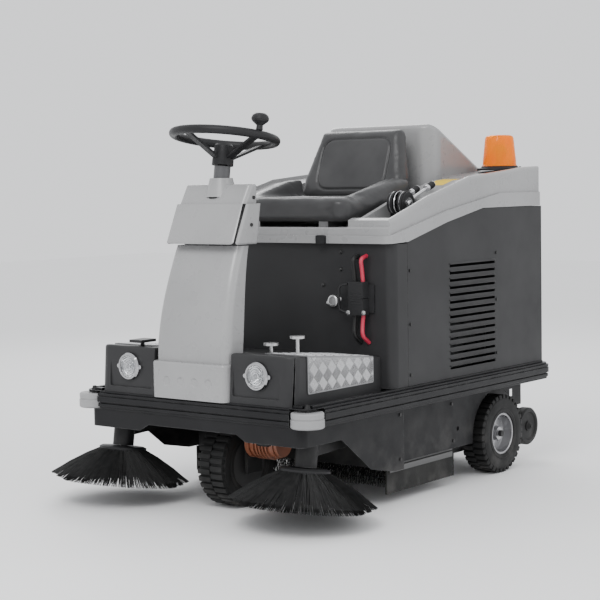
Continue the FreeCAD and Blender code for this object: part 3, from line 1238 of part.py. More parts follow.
def upper_shell():
    """Moulded seat deck with a console each side, the lever pocket and the hump behind the seat."""
    band = skirt_band(sized(0), "band_outer")
    soften(band, D.shell_corner, lambda edge: runs_along(edge, UP))
    block = console_block(sized(0), "console_outer")
    soften(block, D.shell_edge, lambda edge: edge.BoundBox.XLength < 0.1 and edge.BoundBox.ZMin
           > D.console_rise_z.value - 1 and edge.BoundBox.ZMin < D.crest_top_z.value + 1)
    wall = D.shell_wall
    well_rear = D.hump_front + D.well_behind
    well = box("SeatWell", (-D.well_half, D.shell_front - 2, D.deck_floor), (D.well_half, well_rear, 1200))
    rim = D.shell_half - D.shell_inset - D.rim_width
    dips = [console_dip(-rim, rim)]
    guards = []
    for side in (-1, 1):
        inner = D.well_half + 14
        pocket_x = (inner, rim - 6) if side > 0 else (6 - rim, -inner)
        dips.append(box("LeverPocket%d" % (side + 1), (pocket_x[0], D.lever_pocket_front,
                                                       D.lever_pocket_floor),
                        (pocket_x[1], D.lever_pocket_rear, 1000)))
        guards.append(box("PocketGuard%d" % (side + 1),
                          (pocket_x[0] - wall, D.lever_pocket_front - wall, D.lever_pocket_floor - wall),
                          (pocket_x[1] + wall, D.lever_pocket_rear + wall, 1000)))
    outer = cut("ConsoleCut", fuse("ShellOuter", [band, block]), [well] + dips)
    dome = hump(sized(0), "hump_outer")
    soften(dome, D.hump_corner, lambda edge: runs_along(edge,
                                                        UP) and edge.BoundBox.YMin < D.hump_front.value + 1)
    soften(dome, D.shell_edge, lambda edge: edge.BoundBox.ZMax > D.hump_rear_top.value - 1
           and not runs_along(edge, UP) and edge.BoundBox.ZMin > D.hump_rear_top.value - 1)
    solid = fuse("ShellSolid", [outer, dome])
    hollow_well = box("HollowWell", (-D.well_half - wall, D.shell_front - 2, D.deck_floor - wall),
                      (D.well_half + wall, D.hump_front + D.well_behind + wall, 1200))
    band_hollow = skirt_band(wall, "band_inner")
    soften(band_hollow, D.shell_corner - wall, lambda edge: runs_along(edge, UP))
    hump_hollow = hump(wall, "hump_inner")
    soften(hump_hollow, D.hump_corner - wall, lambda edge: runs_along(edge, UP)
           and edge.BoundBox.YMin < (D.hump_front + wall).value + 1)
    under = [cut("BandHollow", band_hollow, [hollow_well] + guards),
             cut("HumpHollow", hump_hollow,
                 [box("HumpFloor", (-400, 0, 600), (400, 900, D.deck_floor - wall))])]
    low_box = box("DeckHollow", (-D.shell_half + wall + 3, D.shell_front + wall + 8, 700),
                  (D.shell_half - wall - 3, D.shell_rear - wall - 3, D.deck_floor - wall))
    slope_hollow = console_hollow()
    hollowed = cut("ShellHollowed", solid, under + [low_box, slope_hollow])
    pins = []
    for side in (-1, 1):
        pins.append(rod("HingePin%d" % (side + 1), D.hinge_pin_radius,
                        (250 * side - 30, D.hinge_pin_y, D.hinge_pin_z), 60, "X"))
        pins.append(box("HingeLeaf%d" % (side + 1), (250 * side - 30, D.shell_rear - 2, D.hinge_pin_z - 1),
                        (250 * side + 30, D.hinge_pin_y, D.hinge_pin_z + D.hinge_pin_radius)))
    beacon_seat = rod("BeaconSeat", D.beacon_base_radius + 0.5,
                      (D.beacon_x, D.beacon_y, D.beacon_z - 0.3), 60)
    keep(cut("UpperShell", fuse("ShellPinned", [hollowed] + pins), [beacon_seat]), "upper_shell")


def console_dip(low_x, high_x):
    """The console's top, lowered inside its rim along the crest's own line."""
    body = new_body("console_dip")
    dip = D.console_dip
    pad(body, "YZ_Plane", [(D.console_front + 20, D.console_rise_z + 4 - dip),
                           (D.crest_mid_y, D.crest_mid_z - dip),
                           (D.crest_high_y, D.crest_high_z - dip), (D.crest_top_y, D.crest_top_z - dip),
                           (D.shell_rear + 4, D.crest_rear_z - dip + 2), (D.shell_rear + 4, sized(1200)),
                           (D.console_front + 20, sized(1200))], low_x, high_x)
    return body


def console_hollow():
    """The space under both consoles, kept clear of the lever pockets."""
    body = new_body("console_hollow")
    wall = D.shell_wall
    drop = D.console_dip + wall
    half = D.shell_half - D.shell_inset - wall
    pad(body, "YZ_Plane", [(D.lever_pocket_rear + wall, D.deck_floor - 20),
                           (D.lever_pocket_rear + wall, D.crest_mid_z - drop),
                           (D.crest_high_y, D.crest_high_z - drop), (D.crest_top_y, D.crest_top_z - drop),
                           (D.shell_rear - wall - 3, D.crest_rear_z - drop),
                           (D.shell_rear - wall - 3, D.deck_floor - 20)], -half, half)
    keep_out = box("WellWall", (-D.well_half - wall, D.shell_front, D.deck_floor - wall),
                   (D.well_half + wall, D.hump_front + D.well_behind + wall, 1200))
    return cut("ConsoleHollow", body, [keep_out])


# ---------------------------------------------------------------- seat, beacon and controls

def seat():
    """Seat cushion with raised bolsters, its backrest, and the rails it slides on."""
    half = D.seat_half
    cushion = new_body("seat_cushion")
    pad(cushion, "XY_Plane", [(-half, D.seat_front, 45), (half, D.seat_front, 45), (half, D.seat_rear, 30),
                              (-half, D.seat_rear, 30)], D.seat_low, D.seat_top)
    wedges = []
    for side in (-1, 1):
        wedge = new_body("bolster_%d" % (side + 1))
        ends = (half - 58, half - 6) if side > 0 else (6 - half, 58 - half)
        pad(wedge, "YZ_Plane", [(D.seat_front + 40, D.seat_top - 12), (D.seat_rear - 20, D.seat_top - 12),
                                (D.seat_rear - 20, D.seat_top + D.bolster_rise, 12),
                                (D.seat_rear - 90, D.seat_top + D.bolster_rise - 6)], *ends)
        wedges.append(wedge)
    base = box("SeatBase", (-half + 40, -60, D.deck_floor + D.rail_height + D.rail_gap),
               (half - 40, 80, D.seat_low + 4))
    keep(fuse("SeatCushion", [cushion, base] + wedges), "seat_cushion")
    back = new_body("seat_back")
    low_z = D.seat_top + 0.5
    thick = D.seat_back_thickness
    pad(back, "YZ_Plane", [(D.seat_back_y, low_z), (D.seat_back_top_y, D.seat_back_top_z, 18),
                           (D.seat_back_top_y + thick * 0.8, D.seat_back_top_z - 4, 14),
                           (D.seat_back_y + thick + 8, low_z)], -D.seat_back_half, D.seat_back_half)
    trims = []
    for side in (-1, 1):
        trim = new_body("back_trim_%d" % (side + 1))
        corners = [(D.seat_back_half * side, D.seat_top + 60),
                   (D.seat_back_half_top * side, D.seat_back_top_z + 5),
                   (D.seat_back_half * side * 1.2, D.seat_back_top_z + 5)]
        if side > 0:
            corners.reverse()
        pad(trim, "XZ_Plane", corners, D.seat_back_y - 40, D.seat_back_top_y + thick + 40)
        trims.append(trim)
    keep(cut("SeatBack", back, trims), "seat_back")
    rails = []
    for side in (-1, 1):
        middle = D.rail_half_gap * side
        rails.append(box("SeatRail%d" % (side + 1), (middle - D.rail_width / 2, D.seat_rail_front,
                                                     D.deck_floor),
                         (middle + D.rail_width / 2, D.seat_rail_rear, D.deck_floor + D.rail_height)))
    keep(group("SeatRails", rails), "seat_rails")


def beacon():
    """Warning lamp: a base plate and a tall lens, on the left rear deck."""
    base = D.beacon_base_height
    spot = (D.beacon_x, D.beacon_y, D.beacon_z)
    foot = D.beacon_base_radius
    keep(turned("beacon_base", [(sized(0), sized(0)), (foot, sized(0)), (foot, base - 3), (foot - 4, base),
                                (sized(0), base)], spot), "beacon_base")
    lens, tall = D.beacon_lens_radius, D.beacon_lens_height
    keep(turned("beacon_lens", [(lens - 3, base), (lens, base), (lens, base + 10), (lens - 6, tall - 14),
                                (lens - 18, tall - 2), (sized(0), tall), (sized(0), tall - 3),
                                (lens - 20, tall - 5), (lens - 9, tall - 16), (lens - 3, base + 10)], spot),
         "beacon_lens")


def lever(label, x, length):
    """Friction disc on the console with a rod and grip rising to the rear, turning about X."""
    thick = D.lever_disc_thickness
    disc = rod(plain(label) + "Disc", D.lever_disc_radius, (-thick / 2, sized(0), sized(0)), thick, "X")
    bore = rod(plain(label) + "Bore", D.lever_pin_radius + D.fit_gap, (-thick, sized(0), sized(0)),
               thick * 2, "X")
    arm = rod(plain(label) + "Rod", D.lever_rod_radius, (sized(0), D.lever_disc_radius - 4, sized(0)),
              length - D.lever_disc_radius, "Y")
    grip = rod(plain(label) + "Grip", D.lever_grip_radius, (sized(0), length - D.lever_grip_length,
                                                            sized(0)),
               D.lever_grip_length, "Y")
    level = cut(plain(label) + "Level", fuse(plain(label) + "Pieces", [disc, arm, grip]), [bore])
    holder = doc.addObject("Part::Compound", plain(label))
    holder.Links = [level]
    keep(place(holder, (x, D.lever_y, D.lever_z), VECTOR(1, 0, 0), SIZES["lever_slope"]), label)


def lever_bracket():
    """Fixed pin and cheeks that both levers turn on."""
    thick = D.lever_disc_thickness
    start = D.side_lever_x - thick / 2 - 1
    end = D.main_lever_x + thick / 2 + 1
    pieces = [rod("LeverPin", D.lever_pin_radius, (start - 4, D.lever_y, D.lever_z), end - start + 8, "X")]
    for number, low_x in enumerate((start - 4, end)):
        pieces.append(rod("Cheek%d" % number, D.lever_disc_radius - 3, (low_x, D.lever_y, D.lever_z), 4,
                          "X"))
        pieces.append(box("CheekFoot%d" % number, (low_x, D.lever_y - 14, D.lever_pocket_floor),
                          (low_x + 4, D.lever_y + 14, D.lever_z)))
    keep(fuse("LeverBracket", pieces), "lever_bracket")


def pedal(label, x, y, pad_z):
    """A round pad on a stalk that turns about a pin under the floor."""
    stalk = rod(plain(label) + "Stalk", D.pedal_stalk_radius, (x, y, D.pedal_pivot_z),
                pad_z - D.pedal_pivot_z)
    face = rod(plain(label) + "Pad", D.pedal_pad_radius, (x, y, pad_z - D.pedal_pad_thickness),
               D.pedal_pad_thickness)
    hub = rod(plain(label) + "Hub", 7, (x - 7, y, D.pedal_pivot_z), 14, "X")
    keep(fuse(plain(label), [stalk, face, hub]), label)


def treadle():
    """Short black treadle on the right pod, pressed straight down."""
    x, y, z = D.treadle_x, D.treadle_y, D.treadle_z
    plate = box("TreadlePlate", (x - D.treadle_half, y - 30, z - D.treadle_thickness),
                (x + D.treadle_half, y - 30 + D.treadle_length, z))
    leg = rod("TreadleLeg", 6, (x, y, D.pedal_pivot_z), z - D.pedal_pivot_z - 2)
    keep(fuse("Treadle", [plate, leg]), "treadle")


def hood_latch():
    """Small pull-up latch on the front panel, under the shell's front lip."""
    x = D.latch_x
    half = D.latch_half
    back = D.shell_front - 1
    front = back - D.latch_thickness
    body = box("LatchPlate", (x - half, front, D.latch_z - D.latch_height / 2),
               (x + half, back, D.latch_z + D.latch_height / 2))
    plate = rounded("LatchRounded", body, 3, lambda edge: runs_along(edge, VECTOR(0, 1, 0)))
    pin = rod("LatchPin", D.latch_pin_radius, (x - half + 3, back - 3.2,
                                               D.latch_z + D.latch_height / 2 - 1.8),
              half * 2 - 6, "X")
    keep(fuse("HoodLatch", [plate, pin]), "hood_latch")


def battery_connector():
    """Two mating connector halves on a bracket at the front panel's left."""
    x, z = D.connector_x, D.connector_z
    face = D.body_front
    half, tall, deep = D.connector_half, D.connector_height / 2, D.connector_depth
    plate = box("Bracket", (x - D.bracket_half, face - 6, z - tall + 6),
                (x + D.bracket_half, face, z + tall - 10))
    upper = box("UpperHalf", (x - half, face - deep, z + 1), (x + half, face - 6, z + tall))
    lower = box("LowerHalf", (x - half, face - deep, z - tall), (x + half, face - 6, z - 1))
    keep(group("BatteryConnector", [fuse("ConnectorBlock", [plate, upper, lower])]), "battery_connector")


def lead_route(x):
    """Centre line of one battery lead: out of the panel above, down through the connector, and back in."""
    out = D.body_front.value - 17
    top = D.connector_z.value + D.connector_height.value / 2
    low = D.connector_z.value - D.connector_height.value / 2
    inside = D.body_front.value + 1
    above = [VECTOR(x, inside, top + 74), VECTOR(x, out - 12, top + 66), VECTOR(x - 2, out - 3, top + 34),
             VECTOR(x - 1, out, top)]
    below = [VECTOR(x - 1, out, low), VECTOR(x - 2, out - 4, low - 30), VECTOR(x + 3, out - 12, low - 60),
             VECTOR(x + 6, inside, low - 82)]
    return above, below


def tube_along(points, radius):
    """A round tube along straight runs joined by tangent arcs, with the arcs' radii."""
    edges, radii = [], []
    start = points[0]
    for before, here, after in zip(points, points[1:], points[2:]):
        back = before.sub(here)
        ahead = after.sub(here)
        half = back.getAngle(ahead) / 2
        reach = 0.45 * min(back.Length, ahead.Length)
        radii.append(reach * math.tan(half))
        back.normalize()
        ahead.normalize()
        arrive = here.add(VECTOR(back).multiply(reach))
        leave = here.add(VECTOR(ahead).multiply(reach))
        centre = here.add(VECTOR(back).add(ahead).normalize().multiply(reach / math.cos(half)))
        middle = centre.add(here.sub(centre).normalize().multiply(radii[-1]))
        edges += [Part.LineSegment(start, arrive).toShape(), Part.Arc(arrive, middle, leave).toShape()]
        start = leave
    edges.append(Part.LineSegment(start, points[-1]).toShape())
    path = Part.Wire(edges)
    section = Part.Wire(Part.Circle(points[0], points[1].sub(points[0]), radius).toShape())
    return path.makePipeShell([section], True, False), path.Length, radii


def battery_leads():
    """Red and black leads, each in two held stretches, above and below the connector."""
    for colour, x in (("red", D.connector_x.value + 16), ("black", D.connector_x.value - 12)):
        solids = []
        for points in lead_route(x):
            radius = D.cable_radius.value
            solid, length, radii = tube_along(points, radius)
            share = solid.Volume / (math.pi * radius ** 2 * length)
            print("lead", colour, "length", round(length, 1), "volume share", round(share, 4),
                  "radii", [round(one, 1) for one in radii])
            solids.append(solid)
        lead = doc.addObject("Part::Feature", "Lead" + colour)
        lead.Shape = Part.makeCompound(solids)
        keep(lead, "cable_" + colour)


def batteries():
    """Four battery blocks on the deck, under the seat."""
    blocks = []
    for column in (-1, 1):
        for row in range(2):
            low_x = D.battery_gap / 2 if column > 0 else -D.battery_gap / 2 - D.battery_width
            low_y = D.battery_front + (D.battery_depth + D.battery_gap) * row
            blocks.append(box("Battery%d%d" % (column + 1, row), (low_x, low_y, D.deck_top),
                              (low_x + D.battery_width, low_y + D.battery_depth,
                               D.deck_top + D.battery_height)))
    keep(group("BatteryPack", blocks), "battery_pack")


def dust_filter():
    """Filter box over the air way in the deck."""
    case = box("FilterCase", (-D.filter_half, D.filter_front, D.deck_top),
               (D.filter_half, D.filter_rear, D.deck_top + D.filter_height))
    keep(case, "dust_filter")


def screw(name, spot, axis, outward):
    """A low domed screw head on a panel."""
    start = list(spot)
    index = "XYZ".index(axis)
    if outward < 0:
        start[index] = sized(spot[index]) - D.screw_height
    return rod(name, D.screw_radius, start, D.screw_height, axis)


def panel_screws():
    """All the small screws of the side panels, skirts and column, as separate heads."""
    heads = []
    rows = [(D.body_seam + 14, z) for z in (372, 520, 676)] + [(D.louvre_rear + 10, z) for z in (392,
                                                                                                 560, 706)]
    for side, outward in ((1, 1), (-1, -1)):
        for number, (y, z) in enumerate(rows):
            heads.append(screw("Door%d%d" % (side + 1, number), (D.body_half_width * side, y, z), "X",
                               outward))
        for number, (y, z) in enumerate(((-152, 262), (-152, 132))):
            heads.append(screw("Skirt%d%d" % (side + 1, number), (D.front_skirt_half_width * side, y, z),
                               "X", outward))
        for number, (y, z) in enumerate(((180, 250), (188, 135))):
            heads.append(screw("Plate%d%d" % (side + 1, number), (D.side_skirt_face * side, y, z), "X",
                               outward))
        heads.append(screw("Head%d0" % (side + 1), (D.head_half_low * side, -488, 820), "X", outward))
        heads.append(screw("Head%d1" % (side + 1), ((D.head_half_high - D.head_inset / 2) * side, -464,
                                                    896), "X",
                           outward))
    keep(group("PanelScrews", heads), "panel_screws")


# ---------------------------------------------------------------- build everything

def build():
    """Make every sub-part."""
    chassis_frame()
    bumper_rail()
    front_skirt()
    side_skirts()
    side_flaps()
    foot_platform()
    tread_plates()
    headlamps()
    column_apron()
    column_head()
    steering_tube()
    steering_wheel()
    spinner_knob()
    wheels()
    steer_fork()
    drive_motor()
    main_brush()
    main_brush_housing()
    hopper()
    front_panel()
    side_panels()
    rear_panel()
    upper_shell()
    seat()
    beacon()
    lever("side_brush_lever", D.side_lever_x, D.side_rod_length)
    lever("main_brush_lever", D.main_lever_x, D.main_rod_length)
    lever_bracket()
    pedal("accelerator_pedal", D.accelerator_x, D.accelerator_y, D.accelerator_pad_z)
    pedal("brake_pedal", D.brake_x, D.brake_y, D.brake_pad_z)
    treadle()
    hood_latch()
    battery_connector()
    battery_leads()
    batteries()
    dust_filter()
    panel_screws()
    for side, tag in ((1, "left"), (-1, "right")):
        roller(tag, side)
        side_brush(tag, side)
        hopper_wheel(tag, side)


def check_and_write():
    """Recompute, refuse anything that failed, and write each sub-part as a STEP file."""
    doc.recompute()
    faults = ["%s is %s" % (one.Name, one.State) for one in doc.Objects
              if "Invalid" in one.State or "Error" in one.State]
    for node in NODES:
        if node.Shape.isNull() or not node.Shape.isValid() or not node.Shape.Solids:
            faults.append("%s has no valid solid" % node.Label)
    if faults:
        raise RuntimeError("; ".join(faults))
    os.makedirs("parts", exist_ok=True)
    for node in NODES:
        node.Shape.exportStep("parts/%s.step" % node.Label)
    print(len(NODES), "parts written")


build()
check_and_write()
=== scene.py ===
# %% [markdown]
# # A ride-on sweeper
# The solids of this machine come from its CAD model, which also says what moves. This lesson
# keeps those solids as a fixed frame, gives each one a finish, and adds or swaps in the pieces
# that look better when they are modelled one by one: tyres, bristles, a sewn seat, lamps, levers.
# The frame is loaded first, because everything that follows is placed against it.

# %% Load the frame
import json
import math
import random

import bpy
from mathutils import Matrix, Vector


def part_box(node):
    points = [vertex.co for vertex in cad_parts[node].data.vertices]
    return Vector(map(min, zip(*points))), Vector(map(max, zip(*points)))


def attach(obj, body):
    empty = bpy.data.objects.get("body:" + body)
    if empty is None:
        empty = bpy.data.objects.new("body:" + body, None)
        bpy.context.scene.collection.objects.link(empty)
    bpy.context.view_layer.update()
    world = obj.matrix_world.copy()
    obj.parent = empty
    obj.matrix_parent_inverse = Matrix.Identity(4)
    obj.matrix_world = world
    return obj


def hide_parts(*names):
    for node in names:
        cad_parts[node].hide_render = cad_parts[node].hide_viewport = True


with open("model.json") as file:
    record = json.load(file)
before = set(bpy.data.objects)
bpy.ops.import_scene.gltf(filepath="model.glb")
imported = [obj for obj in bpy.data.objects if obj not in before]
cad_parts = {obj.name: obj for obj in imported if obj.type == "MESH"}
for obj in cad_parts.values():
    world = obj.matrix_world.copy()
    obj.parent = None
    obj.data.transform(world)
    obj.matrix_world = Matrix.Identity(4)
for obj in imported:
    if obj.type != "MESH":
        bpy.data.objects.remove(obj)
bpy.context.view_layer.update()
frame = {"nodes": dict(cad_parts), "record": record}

nodes = frame["nodes"]

# %% [markdown]
# ## Camera
# A camera looks along its own -Z with +Y up. Its three directions are written down here, so the
# matrix can be filled straight from them. The long lens stands well back from the machine, which
# keeps the nearer side brush from looking too large.

# %% Camera
camera_spot = Vector((2.963, -3.8895, 0.938))
camera_right = Vector((0.78826, 0.61511, -0.01720))
camera_up = Vector((-0.03244, 0.06944, 0.99706))
camera_back = camera_right.cross(camera_up).normalized()
camera_data = bpy.data.cameras.new("camera")
camera_data.lens = 94.8
camera_data.sensor_width = 36
camera = bpy.data.objects.new("camera", camera_data)
bpy.context.scene.collection.objects.link(camera)
turn = Matrix((camera_right, camera_up, camera_back)).transposed().to_4x4()
camera.matrix_world = Matrix.Translation(camera_spot) @ turn
bpy.context.scene.camera = camera
print("camera stands", round(camera_spot.length, 2), "m from the origin")

# %% [markdown]
# ## Floor, sky and lamps
# A pale floor and a bright even sky give the soft light of a studio. One large lamp over the
# front left shapes the rounded edges, and a weaker one fills the shadow side. Large lamps were
# chosen over small ones because a small lamp would throw hard shadows under the deck.

# %% Floor, sky and lamps
def deselect():
    """Leaves edit mode and deselects every object."""
    if bpy.context.object and bpy.context.object.mode != "OBJECT":
        bpy.ops.object.mode_set(mode="OBJECT")
    bpy.ops.object.select_all(action="DESELECT")


deselect()
bpy.ops.mesh.primitive_plane_add(size=24)
floor = bpy.context.object
floor.name = "floor"
floor_paint = bpy.data.materials.new("floor_paint")
floor_paint.use_nodes = True
tree = floor_paint.node_tree
shader = tree.nodes["Principled BSDF"]
shader.inputs["Roughness"].default_value = 0.6
place_node = tree.nodes.new("ShaderNodeTexCoord")
cloud = tree.nodes.new("ShaderNodeTexNoise")
cloud.inputs["Scale"].default_value = 0.7
tint = tree.nodes.new("ShaderNodeMixRGB")
tint.inputs[1].default_value = (0.93, 0.93, 0.93, 1)
tint.inputs[2].default_value = (0.96, 0.96, 0.96, 1)
tree.links.new(place_node.outputs["Object"], cloud.inputs["Vector"])
tree.links.new(cloud.outputs["Fac"], tint.inputs[0])
tree.links.new(tint.outputs[0], shader.inputs["Base Color"])
floor.data.materials.append(floor_paint)

world = bpy.data.worlds.new("studio")
bpy.context.scene.world = world
world.use_nodes = True
world.node_tree.nodes["Background"].inputs["Color"].default_value = (0.97, 0.98, 1, 1)
world.node_tree.nodes["Background"].inputs["Strength"].default_value = 1.25


def soft_lamp(name, spot, aim, size, power):
    """A square area lamp that faces a point."""
    data = bpy.data.lights.new(name, "AREA")
    data.size = size
    data.energy = power
    lamp = bpy.data.objects.new(name, data)
    bpy.context.scene.collection.objects.link(lamp)
    lamp.location = spot
    lamp.rotation_euler = (Vector(aim) - Vector(spot)).to_track_quat("-Z", "Y").to_euler()
    return lamp


soft_lamp("key_lamp", (1.2, -3.2, 3.6), (0, -0.2, 0.6), 2.0, 110)
soft_lamp("side_lamp", (4.2, 0.6, 2.2), (0, 0, 0.5), 2.4, 22)
soft_lamp("back_lamp", (-2.5, 2.6, 3.0), (0, 0.2, 0.7), 2.2, 50)

# %% [markdown]
# ## How a finish is built
# Every finish here is one recipe with different numbers. Slow noise moves the colour between two
# close tones, fine noise gives the surface its grain through a bump, and a third noise moves the
# roughness, so that highlights break up as they do on real plastic or paint. Edges that rub are
# found with a Bevel node: where its rounded normal differs from the flat one, there is an edge,
# and some of the wear tone shows. All of it reads Object coordinates, so that a pattern stays on
# its piece when the piece moves.

# %% The finish recipe
finishes = {}


def finish(name, tones, rough, grain=(400, 0.05), blotch=5, metal=0.0, wear=None, coat=0.0, grime=None,
           sheen=0.0, stretch=(1, 1, 1)):
    """A procedural material, kept in finishes. tones: two colours. rough: two roughnesses. grain:
    noise scale and bump strength. wear: (colour, amount) on edges. grime: (colour, height below which
    it gathers)."""
    made = bpy.data.materials.new(name)
    made.use_nodes = True
    made.diffuse_color = (*tones[0], 1)
    tree = made.node_tree
    add, join = tree.nodes.new, tree.links.new
    shader = tree.nodes["Principled BSDF"]
    shader.inputs["Metallic"].default_value = metal
    shader.inputs["Coat Weight"].default_value = coat
    shader.inputs["Coat Roughness"].default_value = 0.15
    shader.inputs["Sheen Weight"].default_value = sheen
    if metal < 0.3 and max(tones[0]) < 0.1:
        shader.inputs["Specular IOR Level"].default_value = 0.22
    where = add("ShaderNodeTexCoord").outputs["Object"]
    turned = add("ShaderNodeMapping")
    turned.inputs["Scale"].default_value = stretch
    join(where, turned.inputs["Vector"])

    def noise(scale, detail=4.0):
        """A noise texture over the piece."""
        one = add("ShaderNodeTexNoise")
        one.inputs["Scale"].default_value = scale
        one.inputs["Detail"].default_value = detail
        join(turned.outputs["Vector"], one.inputs["Vector"])
        return one.outputs["Fac"]

    def blend(factor, low, high):
        """A colour between two, by a factor."""
        mix = add("ShaderNodeMixRGB")
        join(factor, mix.inputs[0])
        for socket, value in ((mix.inputs[1], low), (mix.inputs[2], high)):
            if isinstance(value, tuple):
                socket.default_value = (*value, 1)
            else:
                join(value, socket)
        return mix.outputs[0]

    def stretch_to(value, low, high, new_low=0.0, new_high=1.0):
        """A number moved from one range to another."""
        ranger = add("ShaderNodeMapRange")
        join(value, ranger.inputs["Value"])
        for socket, number in zip(("From Min", "From Max", "To Min", "To Max"),
                                  (low, high, new_low, new_high)):
            ranger.inputs[socket].default_value = number
        return ranger.outputs["Result"]

    colour = blend(stretch_to(noise(blotch), 0.35, 0.65), *tones)
    if grime:
        height = add("ShaderNodeSeparateXYZ")
        join(where, height.inputs[0])
        low_part = stretch_to(height.outputs["Z"], grime[1], grime[1] * 0.3)
        patch = add("ShaderNodeMath")
        patch.operation = "MULTIPLY"
        join(low_part, patch.inputs[0])
        join(stretch_to(noise(16, 8.0), 0.45, 0.75, 0, 0.22), patch.inputs[1])
        colour = blend(patch.outputs[0], colour, grime[0])
    if wear:
        rounded = add("ShaderNodeBevel")
        rounded.samples = 4
        rounded.inputs["Radius"].default_value = 0.0025
        flat = add("ShaderNodeNewGeometry")
        closeness = add("ShaderNodeVectorMath")
        closeness.operation = "DOT_PRODUCT"
        join(rounded.outputs["Normal"], closeness.inputs[0])
        join(flat.outputs["True Normal"], closeness.inputs[1])
        edge = stretch_to(closeness.outputs["Value"], 0.98, 0.80, 0, wear[1])
        rubbed = add("ShaderNodeMath")
        rubbed.operation = "MULTIPLY"
        join(edge, rubbed.inputs[0])
        join(stretch_to(noise(30), 0.4, 0.6), rubbed.inputs[1])
        colour = blend(rubbed.outputs[0], colour, wear[0])
    join(colour, shader.inputs["Base Color"])
    join(stretch_to(noise(blotch * 4), 0.3, 0.7, *rough), shader.inputs["Roughness"])
    bump = add("ShaderNodeBump")
    bump.inputs["Strength"].default_value = grain[1]
    bump.inputs["Distance"].default_value = 0.002
    join(noise(grain[0], 2.0), bump.inputs["Height"])
    join(bump.outputs["Normal"], shader.inputs["Normal"])
    finishes[name] = made
    return made


# %% [markdown]
# ## The finishes of this machine
# The moulded covers are a light grey plastic with a soft gloss. The body sheets are charcoal
# paint, the bumper and floor are black moulded plastic, and the frame is near black with more
# rub marks. Metals differ mostly in roughness: the lamp rims are almost mirrors, the pedal pads
# are brushed. The amber and clear plastics let light through, so they get transmission.

# %% Finishes by material slot
dust = (0.23, 0.22, 0.21)
bare = (0.34, 0.34, 0.34)
finish("shell_grey", ((0.260, 0.260, 0.262), (0.290, 0.290, 0.292)), (0.24, 0.36), (900, 0.05),
       wear=((0.45, 0.45, 0.45), 0.3), coat=0.35)
finish("panel_charcoal", ((0.021, 0.021, 0.022), (0.028, 0.028, 0.029)), (0.36, 0.48), (520, 0.10),
       wear=((0.16, 0.16, 0.16), 0.4))
finish("rail_black", ((0.006, 0.006, 0.007), (0.010, 0.010, 0.011)), (0.30, 0.44), (700, 0.10),
       wear=((0.11, 0.11, 0.11), 0.5))
finish("platform_charcoal", ((0.022, 0.022, 0.023), (0.030, 0.030, 0.031)), (0.34, 0.5), (800, 0.14),
       wear=((0.12, 0.12, 0.12), 0.4))
finish("skirt_black", ((0.007, 0.007, 0.008), (0.011, 0.011, 0.012)), (0.42, 0.58), (500, 0.10),
       wear=(bare, 0.3), grime=(dust, 0.25))
finish("frame_steel", ((0.013, 0.013, 0.014), (0.020, 0.020, 0.020)), (0.4, 0.6), (420, 0.14),
       wear=(bare, 0.35), grime=(dust, 0.25))
finish("tube_steel", ((0.075, 0.075, 0.078), (0.10, 0.10, 0.105)), (0.28, 0.4), (500, 0.05), coat=0.2)
finish("control_black", ((0.014, 0.014, 0.015), (0.022, 0.022, 0.023)), (0.36, 0.5), (900, 0.16))
finish("rubber_black", ((0.012, 0.012, 0.012), (0.022, 0.022, 0.021)), (0.6, 0.8), (300, 0.2),
       grime=(dust, 0.12))
finish("strip_steel", ((0.10, 0.10, 0.10), (0.15, 0.15, 0.15)), (0.35, 0.5), (260, 0.1), metal=0.9,
       stretch=(1, 0.1, 8))
finish("checker_aluminium", ((0.26, 0.26, 0.265), (0.34, 0.34, 0.345)), (0.34, 0.5), (220, 0.12),
       metal=0.9, wear=((0.5, 0.5, 0.5), 0.4))
finish("lamp_chrome", ((0.38, 0.38, 0.39), (0.46, 0.46, 0.47)), (0.08, 0.16), (40, 0.01), metal=1)
finish("connector_black", ((0.016, 0.016, 0.017), (0.026, 0.026, 0.027)), (0.45, 0.6), (900, 0.2))
finish("lead_red", ((0.42, 0.02, 0.05), (0.50, 0.035, 0.07)), (0.35, 0.5), (300, 0.08))
finish("lead_black", ((0.014, 0.014, 0.014), (0.024, 0.024, 0.024)), (0.35, 0.5), (300, 0.08))
finish("battery_case", ((0.025, 0.025, 0.026), (0.035, 0.035, 0.036)), (0.3, 0.45), (500, 0.08))
finish("filter_case", ((0.16, 0.16, 0.16), (0.20, 0.20, 0.20)), (0.5, 0.7), (400, 0.2))
finish("screw_black", ((0.02, 0.02, 0.02), (0.04, 0.04, 0.04)), (0.25, 0.4), (300, 0.1), metal=0.6)
finish("tyre_rubber", ((0.010, 0.010, 0.010), (0.018, 0.018, 0.018)), (0.55, 0.75), (350, 0.25),
       grime=(dust, 0.20))
finish("rim_silver", ((0.34, 0.34, 0.35), (0.42, 0.42, 0.43)), (0.24, 0.36), (500, 0.05), metal=0.95,
       coat=0.2, grime=((0.3, 0.29, 0.28), 0.2))
finish("drive_rim", ((0.04, 0.04, 0.04), (0.06, 0.06, 0.06)), (0.4, 0.55), (400, 0.1), wear=(bare, 0.4))
finish("motor_copper", ((0.26, 0.085, 0.045), (0.36, 0.13, 0.07)), (0.35, 0.5), (260, 0.1),
       wear=((0.5, 0.3, 0.2), 0.4), grime=(dust, 0.2))
finish("roller_grey", ((0.25, 0.25, 0.253), (0.30, 0.30, 0.303)), (0.4, 0.55), (600, 0.1),
       wear=((0.5, 0.5, 0.5), 0.3))
finish("brush_plastic", ((0.016, 0.016, 0.017), (0.024, 0.024, 0.025)), (0.4, 0.55), (600, 0.1))
finish("bristle_black", ((0.004, 0.004, 0.004), (0.012, 0.012, 0.012)), (0.45, 0.65), (500, 0.2),
       blotch=60, sheen=0.1)
